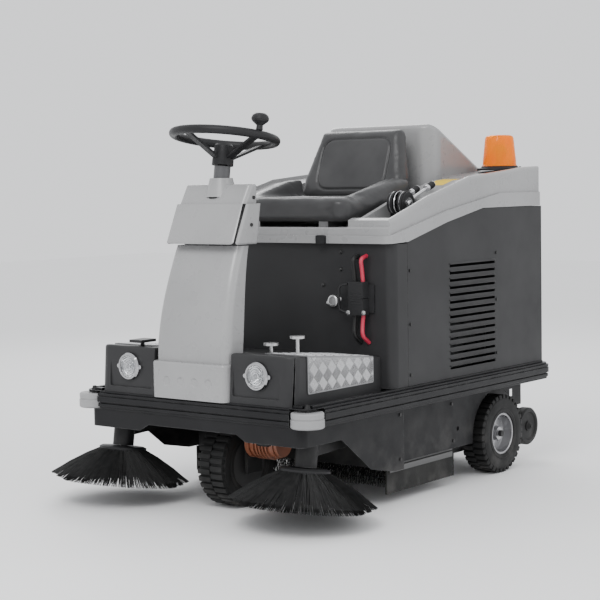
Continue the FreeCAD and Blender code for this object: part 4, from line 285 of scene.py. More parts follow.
finish("hopper_steel", ((0.026, 0.026, 0.027), (0.038, 0.038, 0.039)), (0.4, 0.58), (420, 0.12),
       wear=(bare, 0.35), grime=(dust, 0.2))
finish("small_wheel", ((0.014, 0.014, 0.014), (0.024, 0.024, 0.024)), (0.5, 0.7), (400, 0.15),
       grime=(dust, 0.15))
finish("seat_vinyl", ((0.038, 0.038, 0.039), (0.052, 0.052, 0.053)), (0.28, 0.40), (420, 0.14), blotch=9,
       coat=0.05, sheen=0.05)
finish("rail_steel", ((0.26, 0.26, 0.26), (0.34, 0.34, 0.34)), (0.3, 0.45), (300, 0.06), metal=0.9)
finish("beacon_black", ((0.014, 0.014, 0.015), (0.02, 0.02, 0.021)), (0.35, 0.5), (800, 0.1))
finish("lever_chrome", ((0.66, 0.66, 0.67), (0.74, 0.74, 0.75)), (0.1, 0.2), (80, 0.02), metal=1)
finish("pedal_steel", ((0.50, 0.50, 0.50), (0.60, 0.60, 0.60)), (0.25, 0.4), (300, 0.08), metal=0.9)
print("finishes made:", len(finishes))


# %% [markdown]
# Clear parts follow another recipe: the same noise in colour and roughness, and light passes
# through. Transmission is set on the shader's own socket, because it is the same all over.

# %% Clear plastics
def clear_finish(name, tones, rough, pass_through, ior, glow=0.0):
    """A lamp lens plastic."""
    made = finish(name, tones, rough, (60, 0.03), blotch=20)
    shader = made.node_tree.nodes["Principled BSDF"]
    shader.inputs["Transmission Weight"].default_value = pass_through
    shader.inputs["IOR"].default_value = ior
    shader.inputs["Emission Color"].default_value = (*tones[0], 1)
    shader.inputs["Emission Strength"].default_value = glow


clear_finish("lamp_glass", ((0.92, 0.93, 0.94), (0.96, 0.97, 0.98)), (0.02, 0.08), 0.95, 1.49)
clear_finish("beacon_amber", ((1.0, 0.27, 0.0), (1.0, 0.34, 0.0)), (0.05, 0.12), 0.55, 1.2, 0.08)

# %% [markdown]
# The record says which finish each solid takes, so the CAD nodes are dressed in one loop.

# %% Dress the CAD nodes
def dress(piece, name):
    """Gives a piece one finish in place of any others."""
    piece.data.materials.clear()
    piece.data.materials.append(finishes[name])


slot_of = {row["node"]: row["material_slot"] for row in frame["record"]["subparts"]}
for node, piece in nodes.items():
    dress(piece, slot_of[node])
print("dressed", len(slot_of), "nodes with", len(set(slot_of.values())), "finishes")

# %% [markdown]
# ## Modelling helpers
# Almost every new piece starts as a primitive and is shaped in edit mode. Selecting in code means
# asking each face or edge a question about its place, so that question is passed in as a small
# function. A round piece is made the way it is on a lathe: a circle is extruded and resized from
# one ring to the next. A bent rod starts as a line of points with a round section, and is turned
# into a mesh at once, so that it can be joined with the rest of its piece.

# %% Select and edit
def pick(piece):
    """Selects one object alone and makes it active."""
    deselect()
    piece.select_set(True)
    bpy.context.view_layer.objects.active = piece


def choose(piece, question, kind="FACE"):
    """Selects the faces, edges or vertices for which the question is true, and enters edit mode."""
    bpy.ops.object.mode_set(mode="EDIT")
    bpy.ops.mesh.select_mode(type=kind)
    bpy.ops.mesh.select_all(action="DESELECT")
    bpy.ops.object.mode_set(mode="OBJECT")
    parts = {"FACE": piece.data.polygons, "EDGE": piece.data.edges, "VERT": piece.data.vertices}[kind]
    found = 0
    for part in parts:
        part.select = bool(question(part))
        found += part.select
    bpy.ops.object.mode_set(mode="EDIT")
    return found


def add_modifier(piece, kind, **settings):
    """Adds a modifier, sets it and applies it at once."""
    pick(piece)
    modifier = piece.modifiers.new(kind.lower(), kind)
    for setting, value in settings.items():
        setattr(modifier, setting, value)
    bpy.ops.object.modifier_apply(modifier=modifier.name)


def place(piece, matrix):
    """Moves a piece by a matrix and puts the place into its mesh."""
    pick(piece)
    piece.matrix_world = matrix @ piece.matrix_world
    bpy.ops.object.transform_apply(location=True, rotation=True, scale=True)
    return piece


def copy_of(piece, matrix):
    """A copy with its own mesh, moved by a matrix."""
    twin = piece.copy()
    twin.data = piece.data.copy()
    bpy.context.scene.collection.objects.link(twin)
    twin.data.transform(matrix)
    if matrix.determinant() < 0:
        twin.data.flip_normals()
    return twin


def joined(name, pieces):
    """One object made of several."""
    deselect()
    for piece in pieces:
        piece.select_set(True)
    bpy.context.view_layer.objects.active = pieces[0]
    bpy.ops.object.join()
    whole = bpy.context.object
    whole.name = whole.data.name = name
    return whole


def settle(piece, body, slot, angle=35, replaced=()):
    """Smooths a finished piece, gives it its finish and lets it ride on its body."""
    place(piece, Matrix.Identity(4))
    bpy.ops.object.shade_smooth_by_angle(angle=math.radians(angle))
    dress(piece, slot)
    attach(piece, body)
    if replaced:
        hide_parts(*replaced)
    print(piece.name, "faces", len(piece.data.polygons), "on", body)
    return piece


# %% The lathe
def turned(name, rings, steps=48, closed=False):
    """A shape round Z through (radius, height) rings. A radius of 0 closes an end; closed joins
    the last ring to the first."""
    deselect()
    radius, height = rings[0]
    bpy.ops.mesh.primitive_circle_add(vertices=steps, radius=max(radius, 1e-5), location=(0, 0, height))
    piece = bpy.context.object
    bpy.ops.object.transform_apply(location=True, rotation=False, scale=False)
    piece.name = piece.data.name = name
    bpy.ops.object.mode_set(mode="EDIT")
    bpy.ops.mesh.select_all(action="SELECT")
    for next_radius, next_height in rings[1:] + ([rings[0]] if closed else []):
        bpy.ops.mesh.extrude_edges_move(TRANSFORM_OT_translate={"value": (0, 0, next_height - height)})
        grow = max(next_radius, 1e-5) / max(radius, 1e-5)
        bpy.ops.transform.resize(value=(grow, grow, 1), center_override=(0, 0, next_height))
        radius, height = next_radius, next_height
    bpy.ops.mesh.select_all(action="SELECT")
    bpy.ops.mesh.remove_doubles(threshold=4e-5)
    bpy.ops.mesh.normals_make_consistent(inside=False)
    bpy.ops.object.mode_set(mode="OBJECT")
    return piece


def along(axis, spot=(0, 0, 0)):
    """The matrix that stands Z along an axis and moves the origin to a spot."""
    return Matrix.Translation(spot) @ Vector(axis).to_track_quat("Z", "Y").to_matrix().to_4x4()


def rounded_block(name, size, spot, bevel, segments=3):
    """A box with rounded edges."""
    deselect()
    bpy.ops.mesh.primitive_cube_add(size=1, location=spot)
    piece = bpy.context.object
    piece.name = piece.data.name = name
    piece.scale = size
    bpy.ops.object.transform_apply(location=True, rotation=True, scale=True)
    bpy.ops.object.mode_set(mode="EDIT")
    bpy.ops.mesh.select_all(action="SELECT")
    bpy.ops.mesh.bevel(offset=bevel, segments=segments, affect="EDGES")
    bpy.ops.object.mode_set(mode="OBJECT")
    return piece


# %% Box corners of a CAD node
def corners_of(node):
    """The low and the high corner of a CAD node's box."""
    return [Vector(corner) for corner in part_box(node)]


# %% A round rod along points
def tube(name, points, thickness, closed=False, resolution=3):
    """A mesh tube that follows points."""
    curve = bpy.data.curves.new(name, "CURVE")
    curve.dimensions = "3D"
    curve.bevel_depth = thickness / 2
    curve.bevel_resolution = resolution
    curve.use_fill_caps = not closed
    spline = curve.splines.new("POLY")
    spline.points.add(len(points) - 1)
    for point, where in zip(spline.points, points):
        point.co = (*where, 1)
    spline.use_cyclic_u = closed
    rod = bpy.data.objects.new(name, curve)
    bpy.context.scene.collection.objects.link(rod)
    pick(rod)
    bpy.ops.object.convert(target="MESH")
    return bpy.context.object


print("helpers ready")

# %% [markdown]
# ## Tyres
# The solid tyres have a flat tread cut into two staggered rows of bars that run from the middle
# to the shoulder. The carcass is turned on the lathe, and one bar is modelled as a bevelled block
# and copied round. Booleans would give the same grooves, but slowly and with ragged faces.

# %% Make a tyre
def tyre(name, width, rim_radius, bars):
    """A tyre round Z, centred on the origin."""
    half, outer, groove = width / 2, 0.125, 0.0075
    carcass = turned(name, [(rim_radius, half - 0.006), (rim_radius + 0.004, half - 0.001),
                            (rim_radius + 0.014, half), (rim_radius + 0.017, half - 0.0015),
                            (rim_radius + 0.021, half - 0.0005), (outer - 0.024, half),
                            (outer - 0.014, half - 0.002), (outer - groove, half - 0.009),
                            (outer - groove, 0.009 - half), (outer - 0.014, 0.002 - half),
                            (outer - 0.024, -half), (rim_radius + 0.021, 0.0005 - half),
                            (rim_radius + 0.017, 0.0015 - half), (rim_radius + 0.014, -half),
                            (rim_radius + 0.004, 0.001 - half), (rim_radius, 0.006 - half)], 72,
                     closed=True)
    pitch = 2 * math.pi / bars
    reach = half - 0.004
    bar = rounded_block("bar", (groove + 0.004, outer * pitch * 0.66, reach),
                        (outer - groove / 2 - 0.0023, 0, reach / 2 + 0.001), 0.0016, 2)
    choose(bar, lambda face: face.normal.z > 0.6)
    bpy.ops.transform.translate(value=(-0.004, 0, 0))
    bpy.ops.object.mode_set(mode="OBJECT")
    flip = Matrix.Scale(-1, 4, (0, 0, 1))
    pieces = [carcass]
    for number in range(bars):
        pieces.append(copy_of(bar, Matrix.Rotation(pitch * number, 4, "Z")))
        pieces.append(copy_of(bar, Matrix.Rotation(pitch * (number + 0.5), 4, "Z") @ flip))
    bpy.data.objects.remove(bar)
    return joined(name, pieces)


# %% Fit the tyres
rear_rim_radius, front_rim_radius = 0.064, 0.070
rear_tyre_width, front_tyre_width = 0.085, 0.1
bars_round = 34
rear_spots = {"left": Vector((0.3475, 0.442, 0.125)), "right": Vector((-0.3475, 0.442, 0.125))}
front_spot = Vector((0, -0.412, 0.125))
for side, spot in rear_spots.items():
    settle(place(tyre("tyre_" + side, rear_tyre_width, rear_rim_radius, bars_round),
                 along((1, 0, 0), spot)), "rear_wheel_" + side, "tyre_rubber", 30, ["rear_tyre_" + side])
settle(place(tyre("tyre_front", front_tyre_width, front_rim_radius, bars_round),
             along((1, 0, 0), front_spot)), "front_wheel", "tyre_rubber", 30, ["front_tyre"])

# %% [markdown]
# ## Rims and hubs
# Each rear rim is a deep silver dish. Its rolled lip, the hub in the middle and the ring of bolts
# stand out as separate small pieces, so they are turned and copied onto the CAD dish.

# %% A bolt head and the hub bolts
def bolt_head(radius, height):
    """A six-sided head with a bevelled top and a washer, standing on the origin."""
    deselect()
    bpy.ops.mesh.primitive_cylinder_add(vertices=6, radius=radius, depth=height,
                                        location=(0, 0, height / 2 + 0.001))
    head = bpy.context.object
    bpy.ops.object.transform_apply(location=True, rotation=True, scale=True)
    choose(head, lambda face: face.normal.z > 0.9)
    bpy.ops.mesh.bevel(offset=height * 0.2, segments=2, affect="EDGES")
    bpy.ops.object.mode_set(mode="OBJECT")
    washer = turned("washer", [(0, 0), (radius * 1.45, 0), (radius * 1.45, 0.0009),
                               (radius * 1.3, 0.0013), (0, 0.0013)], 20)
    return joined("bolt", [head, washer])


# %% Place bolts, lips and nuts on the wheels
for side, spot in rear_spots.items():
    outward = Vector((1 if side == "left" else -1, 0, 0))
    frame_of = along(outward, spot)
    lip = place(turned("lip", [(0.0655, 0.0335), (0.0665, 0.0355), (0.0655, 0.0385), (0.062, 0.0395),
                               (0.0595, 0.0375), (0.059, 0.034)], 56, closed=True), frame_of)
    bead = place(turned("bead", [(0.047, 0.0085), (0.0485, 0.0105), (0.050, 0.0085), (0.0485, 0.0075)],
                        48, closed=True), frame_of)
    pieces = [lip, bead]
    for number in range(5):
        bolt = bolt_head(0.0052, 0.0045)
        bolt_turn = Matrix.Rotation(math.radians(72 * number + 18), 4, "Z")
        seat_of_bolt = bolt_turn @ Matrix.Translation((0.030, 0, 0.0085))
        pieces.append(place(bolt, frame_of @ seat_of_bolt))
    pieces.append(place(bolt_head(0.0085, 0.008), frame_of @ Matrix.Translation((0, 0, 0.0265))))
    settle(joined("rim_details_" + side, pieces), "rear_wheel_" + side, "rim_silver", 30)

for side, sign in (("left", 1), ("right", -1)):
    hub = along((sign, 0, 0), (0.330 * sign, 0.6853, 0.113))
    cap = place(turned("cap", [(0, 0.019), (0.008, 0.0188), (0.0105, 0.0165), (0.0115, 0.0135),
                               (0.017, 0.013), (0.017, 0.0105)], 32), hub)
    tread_lines = [place(turned("line", [(0.0618, 0.0045 * k - 0.0008), (0.0623, 0.0045 * k),
                                         (0.0618, 0.0045 * k + 0.0008), (0.060, 0.0045 * k)], 48,
                                closed=True), hub) for k in (-1, 1)]
    nut = place(bolt_head(0.0065, 0.004), hub @ Matrix.Translation((0, 0, 0.018)))
    settle(joined("hopper_wheel_cap_" + side, [cap, nut] + tread_lines), "hopper_wheel_" + side,
           "small_wheel", 30)

# %% [markdown]
# ## Bristles
# Each side brush is a cone of stiff strands set in three rings of tufts. One three-sided strand
# is extruded in steps that bend it, then scattered copies of it make a tuft, and the tuft is
# copied round the disc with a small random turn each time, so that no two gaps are alike. A
# fixed seed makes every run the same.

# %% A bent strand, a tuft and a ring of tufts
chance = random.Random(7)


def strand(thickness, reach, drop, sag):
    """A bristle from the origin that runs out along X and down by drop, and sags between."""
    deselect()
    bpy.ops.mesh.primitive_circle_add(vertices=3, radius=thickness, fill_type="NGON")
    one = bpy.context.object
    place(one, Matrix.Rotation(math.radians(90), 4, "Y"))
    bpy.ops.object.mode_set(mode="EDIT")
    bpy.ops.mesh.select_all(action="SELECT")
    last = Vector((0, 0, 0))
    for part in (0.3, 0.65, 1.0):
        spot = Vector((reach * part, 0, -drop * part + sag * 4 * part * (1 - part)))
        bpy.ops.mesh.extrude_region_move(TRANSFORM_OT_translate={"value": spot - last})
        last = spot
    bpy.ops.transform.resize(value=(1, 0.6, 0.6), center_override=last)
    bpy.ops.mesh.select_all(action="SELECT")
    bpy.ops.mesh.normals_make_consistent(inside=False)
    bpy.ops.object.mode_set(mode="OBJECT")
    return one


def tuft(count, root, tip, drop, spread, sag=0.006):
    """Strands from one hole at radius root, fanned by a spread angle, with tips at radius tip."""
    strands = []
    for _ in range(count):
        length = chance.uniform(0.98, 1.0)
        bent = strand(0.00075, (tip - root) * length, drop * length * chance.uniform(0.985, 1.0),
                      sag * chance.uniform(0.3, 1.0))
        start = Matrix.Translation((root + chance.uniform(-0.003, 0.003), chance.uniform(-0.003, 0.003), 0))
        strands.append(place(bent, start @ Matrix.Rotation(chance.uniform(-spread, spread), 4, "Z")))
    return joined("tuft", strands)


def ring_of(shapes, count, jitter=0.02):
    """Copies of tufts round Z."""
    pieces = []
    for number in range(count):
        angle = 2 * math.pi * number / count + chance.uniform(-jitter, jitter)
        pieces.append(copy_of(shapes[number % len(shapes)], Matrix.Rotation(angle, 4, "Z")))
    for shape in shapes:
        bpy.data.objects.remove(shape)
    return joined("ring", pieces)


# %% The side brushes
brush_tilt = Vector((0, 0.15643, 0.98769))
brush_rings = []
for root, tip, drop in ((0.040, 0.168, 0.107), (0.050, 0.188, 0.098), (0.060, 0.2035, 0.088)):
    shapes = [tuft(34, root, tip, drop, math.radians(8)) for _ in range(3)]
    brush_rings.append(place(ring_of(shapes, 42), Matrix.Translation((0, 0, -0.006))))
side_brush = joined("side_brush", brush_rings)
for side, sign in (("left", 1), ("right", -1)):
    stand = along(brush_tilt, (0.345 * sign, -0.532, 0.160))
    settle(copy_of(side_brush, stand @ Matrix.Rotation(0.4 * sign, 4, "Z")), "side_brush_" + side,
           "bristle_black", 20, ["brush_bristles_" + side]).name = "side_bristles_" + side
bpy.data.objects.remove(side_brush)

# %% [markdown]
# The main brush is a roller. Straight strands stand on it in rows that wind slowly round the
# core, so one row is built along X and turned a little at each tuft.

# %% The main brush
core = turned("core",
              [(0, -0.318), (0.052, -0.318), (0.055, -0.315), (0.055, 0.315), (0.052, 0.318), (0, 0.318)],
              40)
bolt_ends = [place(bolt_head(0.010, 0.004),
                   Matrix.Rotation(math.radians(end), 4, "Y") @ Matrix.Translation((0, 0, 0.3135)))
             for end in (0, 180)]
tufts = []
for _ in range(4):
    spikes = []
    for _ in range(9):
        deselect()
        bpy.ops.mesh.primitive_cone_add(vertices=3, radius1=0.0011, radius2=0.0005, depth=0.076,
                                        location=(0, 0, 0.0895))
        lean_x = Matrix.Rotation(chance.uniform(-0.07, 0.07), 4, "X")
        lean = lean_x @ Matrix.Rotation(chance.uniform(-0.05, 0.05), 4, "Y")
        spikes.append(place(bpy.context.object, lean))
    tufts.append(joined("spikes", spikes))
rows = []
for row in range(10):
    for step in range(50):
        angle = 2 * math.pi * (row / 10 + step / 110)
        lift = Matrix.Translation((0, 0, -0.310 + 0.01265 * step)) @ Matrix.Rotation(angle, 4, "Z")
        rows.append(copy_of(tufts[(row + step) % 4], lift @ Matrix.Rotation(math.radians(90), 4, "Y")))
for shape in tufts:
    bpy.data.objects.remove(shape)
main_spot = along((1, 0, 0), (0, -0.020, 0.143))
settle(place(joined("main_bristles", [core] + bolt_ends + rows), main_spot), "main_brush",
       "bristle_black", 20, ["main_brush"])

# %% [markdown]
# ## The seat
# The seat is vinyl over foam, so its CAD blocks are only its size. A copy of each block is
# remeshed into small even faces and blown up a little by a cloth simulation with gravity off,
# which pulls the faces into the swells and tucks of a padded part. The movement is capped, so
# that the cushion keeps its outline, and the result is frozen into the mesh.

# %% Pad the cushion and the back
def padded_copy(node, name, pressure, cap):
    """A cloth-simulated copy of a CAD block. cap is how far a vertex may move, in metres."""
    deselect()
    pad = nodes[node].copy()
    pad.data = nodes[node].data.copy()
    pad.name = pad.data.name = name
    pad.parent = None
    bpy.context.scene.collection.objects.link(pad)
    add_modifier(pad, "REMESH", mode="VOXEL", voxel_size=0.0055, use_smooth_shade=True)
    add_modifier(pad, "SMOOTH", factor=0.5, iterations=6)
    start = [vertex.co.copy() for vertex in pad.data.vertices]
    cloth = pad.modifiers.new("padding", "CLOTH")
    cloth.settings.quality = 5
    cloth.settings.mass = 0.4
    cloth.settings.use_pressure = True
    cloth.settings.uniform_pressure_force = pressure
    cloth.settings.tension_stiffness = 18
    cloth.settings.compression_stiffness = 9
    cloth.settings.shear_stiffness = 6
    cloth.settings.bending_stiffness = 0.6
    cloth.settings.effector_weights.gravity = 0
    for moment in range(1, 21):
        bpy.context.scene.frame_set(moment)
    pick(pad)
    bpy.ops.object.modifier_apply(modifier="padding")
    bpy.context.scene.frame_set(1)
    for vertex, before in zip(pad.data.vertices, start):
        moved = vertex.co - before
        if moved.length > cap:
            vertex.co = before + moved * (cap / moved.length)
    add_modifier(pad, "SMOOTH", factor=0.6, iterations=14)
    return pad


cushion = padded_copy("seat_cushion", "seat_pan", 4.0, 0.008)
backrest = padded_copy("seat_back", "seat_backrest", 4.0, 0.006)
print("seat faces:", len(cushion.data.polygons), len(backrest.data.polygons))

# %% [markdown]
# A seam is where the cover is drawn in. Here that is a shallow valley: vertices near a line on
# the surface move inwards, most on the line itself and less beside it. The line of the cushion
# runs round the sitting panel, and the line of the back runs just inside its frame.

# %% Draw in the seams
def distance_to_line(point, corners):
    """The shortest distance from a 2-D point to a closed run of corners."""
    best = 9.0
    for first, second in zip(corners, corners[1:] + corners[:1]):
        run = second - first
        part = max(0.0, min(1.0, (point - first).dot(run) / run.dot(run)))
        best = min(best, (point - first - run * part).length)
    return best


def draw_in(pad, flatten, corners, depth, width, facing):
    """Presses a valley into the surface that faces one way, along a closed line."""
    normals = [vertex.normal.copy() for vertex in pad.data.vertices]
    for vertex, normal in zip(pad.data.vertices, normals):
        if normal.dot(facing) < 0.35:
            continue
        near = distance_to_line(flatten(vertex.co), corners)
        vertex.co -= normal * depth * math.exp(-(near / width) ** 2)


def round_line(low_x, high_x, low_y, high_y, radius):
    """A rectangle with rounded corners, as 2-D points."""
    points = []
    for centre_x, centre_y, turn_start in ((high_x - radius, high_y - radius, 0),
                                           (low_x + radius, high_y - radius, 90),
                                           (low_x + radius, low_y + radius, 180),
                                           (high_x - radius, low_y + radius, 270)):
        for step in range(5):
            angle = math.radians(turn_start + 22.5 * step)
            points.append(Vector((centre_x + radius * math.cos(angle), centre_y + radius * math.sin(angle))))
    return points


seat_low, seat_high = corners_of("seat_cushion")
back_low, back_high = corners_of("seat_back")
add_modifier(cushion, "SUBSURF", levels=1, render_levels=1)
add_modifier(backrest, "SUBSURF", levels=1, render_levels=1)
cushion_line = round_line(-0.158, 0.158, seat_low.y + 0.030, seat_high.y - 0.052, 0.05)
draw_in(cushion, lambda spot: Vector((spot.x, spot.y)), cushion_line, 0.0045, 0.004, Vector((0, 0, 1)))
back_line = round_line(-0.132, 0.132, back_low.z + 0.028, back_high.z - 0.030, 0.04)
draw_in(backrest, lambda spot: Vector((spot.x, spot.z)), back_line, 0.0045, 0.004, Vector((0, -1, 0)))

# %% [markdown]
# Use leaves small creases where the back meets the cushion. A few short valleys, each fading to
# its ends, are pressed in there.

# %% Creases
creases = ((-0.150, 0.060, 50), (-0.132, 0.085, 38), (0.148, 0.062, 128), (0.128, 0.088, 142),
           (-0.168, 0.030, 62))
for crease_x, rear_gap, lean in creases:
    middle = Vector((crease_x, seat_high.y - 0.06 - rear_gap / 2))
    heading = Vector((math.cos(math.radians(lean)), math.sin(math.radians(lean))))
    for vertex in cushion.data.vertices:
        offset = Vector((vertex.co.x, vertex.co.y)) - middle
        across = offset.x * heading.y - offset.y * heading.x
        span = offset.dot(heading)
        if abs(span) < 0.035 and abs(across) < 0.012 and vertex.normal.z > 0.3:
            fade = math.cos(span / 0.035 * math.pi / 2)
            vertex.co.z -= 0.0022 * fade * math.exp(-(across / 0.0035) ** 2)

for pad, node in ((cushion, "seat_cushion"), (backrest, "seat_back")):
    settle(pad, "seat", "seat_vinyl", 60, [node])

# %% [markdown]
# A thin welt lies in each seam. Its line is found by casting rays at the surface, down onto the
# cushion and rearwards onto the back, so that it follows every swell.

# %% Welts
def welt(name, onto, spots, direction, thickness):
    """A closed round cord laid on a surface through spots, each dropped along a direction."""
    found = []
    for spot in spots:
        hit, where, normal, _ = onto.ray_cast(Vector(spot) - Vector(direction) * 0.3, direction)
        if hit:
            found.append(where + normal * thickness * 0.2)
    return tube(name, found, thickness, closed=True, resolution=2)


def smooth_line(corners, gap=0.006):
    """More points along a closed 2-D line."""
    points = []
    for first, second in zip(corners, corners[1:] + corners[:1]):
        count = max(1, int((second - first).length / gap))
        points += [first + (second - first) * step / count for step in range(count)]
    return points


cushion_welt = welt("cushion_welt", cushion,
                    [(spot.x, spot.y, 0.9) for spot in smooth_line(cushion_line)], (0, 0, -1), 0.0016)
back_welt = welt("back_welt", backrest, [(spot.x, 0.1, spot.y) for spot in smooth_line(back_line)],
                 (0, 1, 0), 0.0016)
settle(joined("seat_welts", [cushion_welt, back_welt]), "seat", "seat_vinyl", 60)

# %% [markdown]
# ## Checker plate
# The step plates have seven short raised bars in each cell, and the next cell has its bars across
# them. Real bars catch the light along their edges, which a bump alone doesn't do in a close
# view. One bar is modelled, and its copies are cut short where a cell meets the sheet's edge.

# %% The bars of the step plates
cell_half = 0.0204
bar_pitch = 0.0045 * 0.93
part_step = 0.00155
sheet_margin = 0.003
tile = rounded_block("bar", (1.0, 0.0017, 0.0024), (0, 0, 0), 0.0007, 1)


def bars_over(tall_at, wide, to_surface):
    """Bars on a sheet that is wide along V and tall_at(v) along U, put on the model by a matrix."""
    made = []
    for cell_u in range(-1, 9):
        for cell_v in range(-1, 16):
            if (cell_u + cell_v) % 2:
                continue
            heading = Vector((1, 1)) if cell_u % 2 else Vector((1, -1))
            heading.normalize()
            across = Vector((-heading.y, heading.x))
            middle = Vector((cell_u * cell_half, cell_v * cell_half)) + Vector((0.004, 0.006))
            for number in range(-3, 4):
                kept = []
                for part in range(-8, 9):
                    spot = middle + across * (number * bar_pitch) + heading * (part * part_step)
                    if (sheet_margin < spot.y < wide - sheet_margin
                            and sheet_margin < spot.x < tall_at(spot.y) - sheet_margin):
                        kept.append(part)
                if len(kept) < 4:
                    continue
                reach = (kept[-1] - kept[0]) * part_step
                centre = (kept[-1] + kept[0]) / 2 * part_step
                spot = middle + across * (number * bar_pitch) + heading * centre
                turn = Matrix.Rotation(math.atan2(heading.y, heading.x), 4, "Z")
                stretch = Matrix.Diagonal((reach, 1, 1, 1))
                spot_3d = Matrix.Translation((spot.x, spot.y, 0))
                made.append(copy_of(tile, to_surface @ spot_3d @ turn @ stretch))
    return made


top_slope = -0.09606
top_spot = Matrix.Translation((0.214, -0.538, 0.471 + top_slope * 0.060 + 0.0034))
top_sheet = top_spot @ Matrix.Rotation(math.atan(top_slope), 4, "X")
u_up_v_back = Matrix(((0, 0, 1, 0), (0, 1, 0, 0), (1, 0, 0, 0), (0, 0, 0, 1)))
side_sheet = Matrix.Translation((0.3634, -0.538, 0.363)) @ u_up_v_back
side_pieces = bars_over(lambda v: 0.148, 0.306, top_sheet)
side_pieces += bars_over(lambda v: 0.104 + top_slope * v, 0.306, side_sheet)
bpy.data.objects.remove(tile)
bars_left = joined("tread_bars_left", side_pieces)
bars_right = copy_of(bars_left, Matrix.Scale(-1, 4, (1, 0, 0)))
tread_bars = settle(joined("tread_bars", [bars_left, bars_right]), "chassis", "checker_aluminium", 30)
# The bars get a much lighter copy of the plate's metal. That lighter colour is a painted highlight along the
# bars.
finish("bar_painted_highlight", ((0.70, 0.70, 0.71), (0.80, 0.80, 0.81)), (0.16, 0.3), (220, 0.08), metal=0.95)
dress(tread_bars, "bar_painted_highlight")

# %% [markdown]
# ## Lamps
# Each headlight is a chrome bowl behind a clear lens. The bowl gets stepped rings and a bulb,
# and the lens gets moulded rings on its face, which bend the view of the bowl behind it.

# %% The headlights
lens_low, lens_high = corners_of("headlight_lenses")
bowls, bulbs, flutes = [], [], []
for sign in (1, -1):
    facing = along((0, -1, 0), (0.240 * sign, lens_high.y + 0.001, 0.412))
    bowls.append(place(turned("bowl", [(0.0315, -0.0005), (0.0318, 0.0), (0.030, -0.004),
                                       (0.0275, -0.0085), (0.024, -0.013), (0.019, -0.0175),
                                       (0.0125, -0.0215), (0.0075, -0.0235), (0.0075, -0.0255),
                                       (0.014, -0.0235), (0.021, -0.019), (0.0265, -0.014),
                                       (0.030, -0.008)], 40, closed=True), facing))
    bulbs.append(place(turned("bulb", [(0, -0.022), (0.0055, -0.022), (0.0055, -0.017), (0.0075, -0.0135),
                                       (0.0082, -0.0105), (0.0075, -0.0075), (0.0045, -0.0052),
                                       (0, -0.0045)], 24), facing))
    for radius in (0.009, 0.016, 0.023, 0.029):
        flutes.append(place(turned("flute", [(radius, 0.0), (radius + 0.0016, -0.0010), (radius, -0.0022),
                                             (radius - 0.0016, -0.0010)], 48, closed=True),
                            along((0, -1, 0), (0.240 * sign, lens_low.y - 0.0006, 0.412))))
settle(joined("headlight_bowls", bowls), "chassis", "lamp_chrome", 30)
settle(joined("headlight_bulbs", bulbs), "chassis", "lamp_glass", 60)
settle(joined("headlight_flutes", flutes), "chassis", "lamp_glass", 60)

# %% [markdown]
# ## The beacon
# The amber cap is hollow, so light passes into it and shows the reflector inside. Faint flutes
# near the top of its inner wall are made by pulling every other run of points inwards a little.

# %% Amber cap, reflector and bulb
cap_low, cap_high = corners_of("beacon_lens")
beacon_spot = Vector(((cap_low.x + cap_high.x) / 2, (cap_low.y + cap_high.y) / 2, cap_low.z))
tall = cap_high.z - cap_low.z
cap = turned("beacon_cap", [(0.0565, 0.0), (0.0568, 0.006), (0.0548, 0.009), (0.0540, 0.022),
                            (0.0510, 0.05), (0.0480, 0.080), (0.0462, tall - 0.010),
                            (0.043, tall - 0.004), (0.036, tall - 0.0007), (0.012, tall - 0.0003),
                            (0.012, tall - 0.003), (0.034, tall - 0.0034), (0.0405, tall - 0.0075),
                            (0.0432, tall - 0.013), (0.0450, 0.078), (0.0482, 0.048), (0.0512, 0.020),
                            (0.0536, 0.0)], 96, closed=True)
rib_angle = 2 * math.pi / 96


def on_flute(point):
    """Whether a vertex is on every other run of the cap's inner wall, near its top."""
    inner_limit = 0.0495 - 0.05 * point.co.z / 0.9
    on_wall = 0.018 < point.co.z < tall - 0.012 and Vector(point.co.xy).length < inner_limit
    return on_wall and round(math.atan2(point.co.y, point.co.x) / rib_angle) % 2 == 0


choose(cap, on_flute, "VERT")
bpy.ops.transform.resize(value=(0.97, 0.97, 1), center_override=(0, 0, 0))
bpy.ops.object.mode_set(mode="OBJECT")
lid = turned("lid",
             [(0, tall - 0.0002), (0.0125, tall - 0.0002), (0.0125, tall - 0.003), (0, tall - 0.003)], 32)
stand = Matrix.Translation(beacon_spot)
settle(place(joined("beacon_cap", [cap, lid]), stand), "hood", "beacon_amber", 25, ["beacon_lens"])
dish = place(turned("dish", [(0.0, -0.012), (0.010, -0.010), (0.019, -0.004), (0.026, 0.006),
                             (0.0265, 0.0065),
                             (0.025, 0.0068), (0.018, -0.002), (0.0095, -0.0075), (0.0, -0.009)], 32),
             stand @ Matrix.Translation((0.010, -0.006, 0.052)) @ Matrix.Rotation(math.radians(110), 4, "X"))
post = place(turned("post", [(0, 0.0), (0.040, 0.0), (0.040, 0.008), (0.014, 0.010), (0.010, 0.030),
                             (0.010, 0.036), (0, 0.036)], 32), stand)
settle(joined("beacon_inside", [dish, post]), "hood", "lamp_chrome", 30)
lamp = place(turned("lamp", [(0, 0.034), (0.005, 0.034), (0.008, 0.042), (0.009, 0.052), (0.007, 0.061),
                             (0, 0.065)], 24), stand)
settle(lamp, "hood", "lamp_glass", 60)
flange = place(turned("flange", [(0.0575, -0.001), (0.0595, 0.0), (0.0595, 0.0035), (0.0575, 0.0045),
                                 (0.0572, 0.001)], 64, closed=True), stand)
foot_bolts = []
for turn_angle in (0.5, 2.6, 4.7):
    around = (0.066 * math.cos(turn_angle), 0.066 * math.sin(turn_angle), -0.001)
    foot_bolts.append(place(bolt_head(0.0036, 0.0026), stand @ Matrix.Translation(around)))
settle(joined("beacon_flange", [flange] + foot_bolts), "hood", "beacon_black", 30)

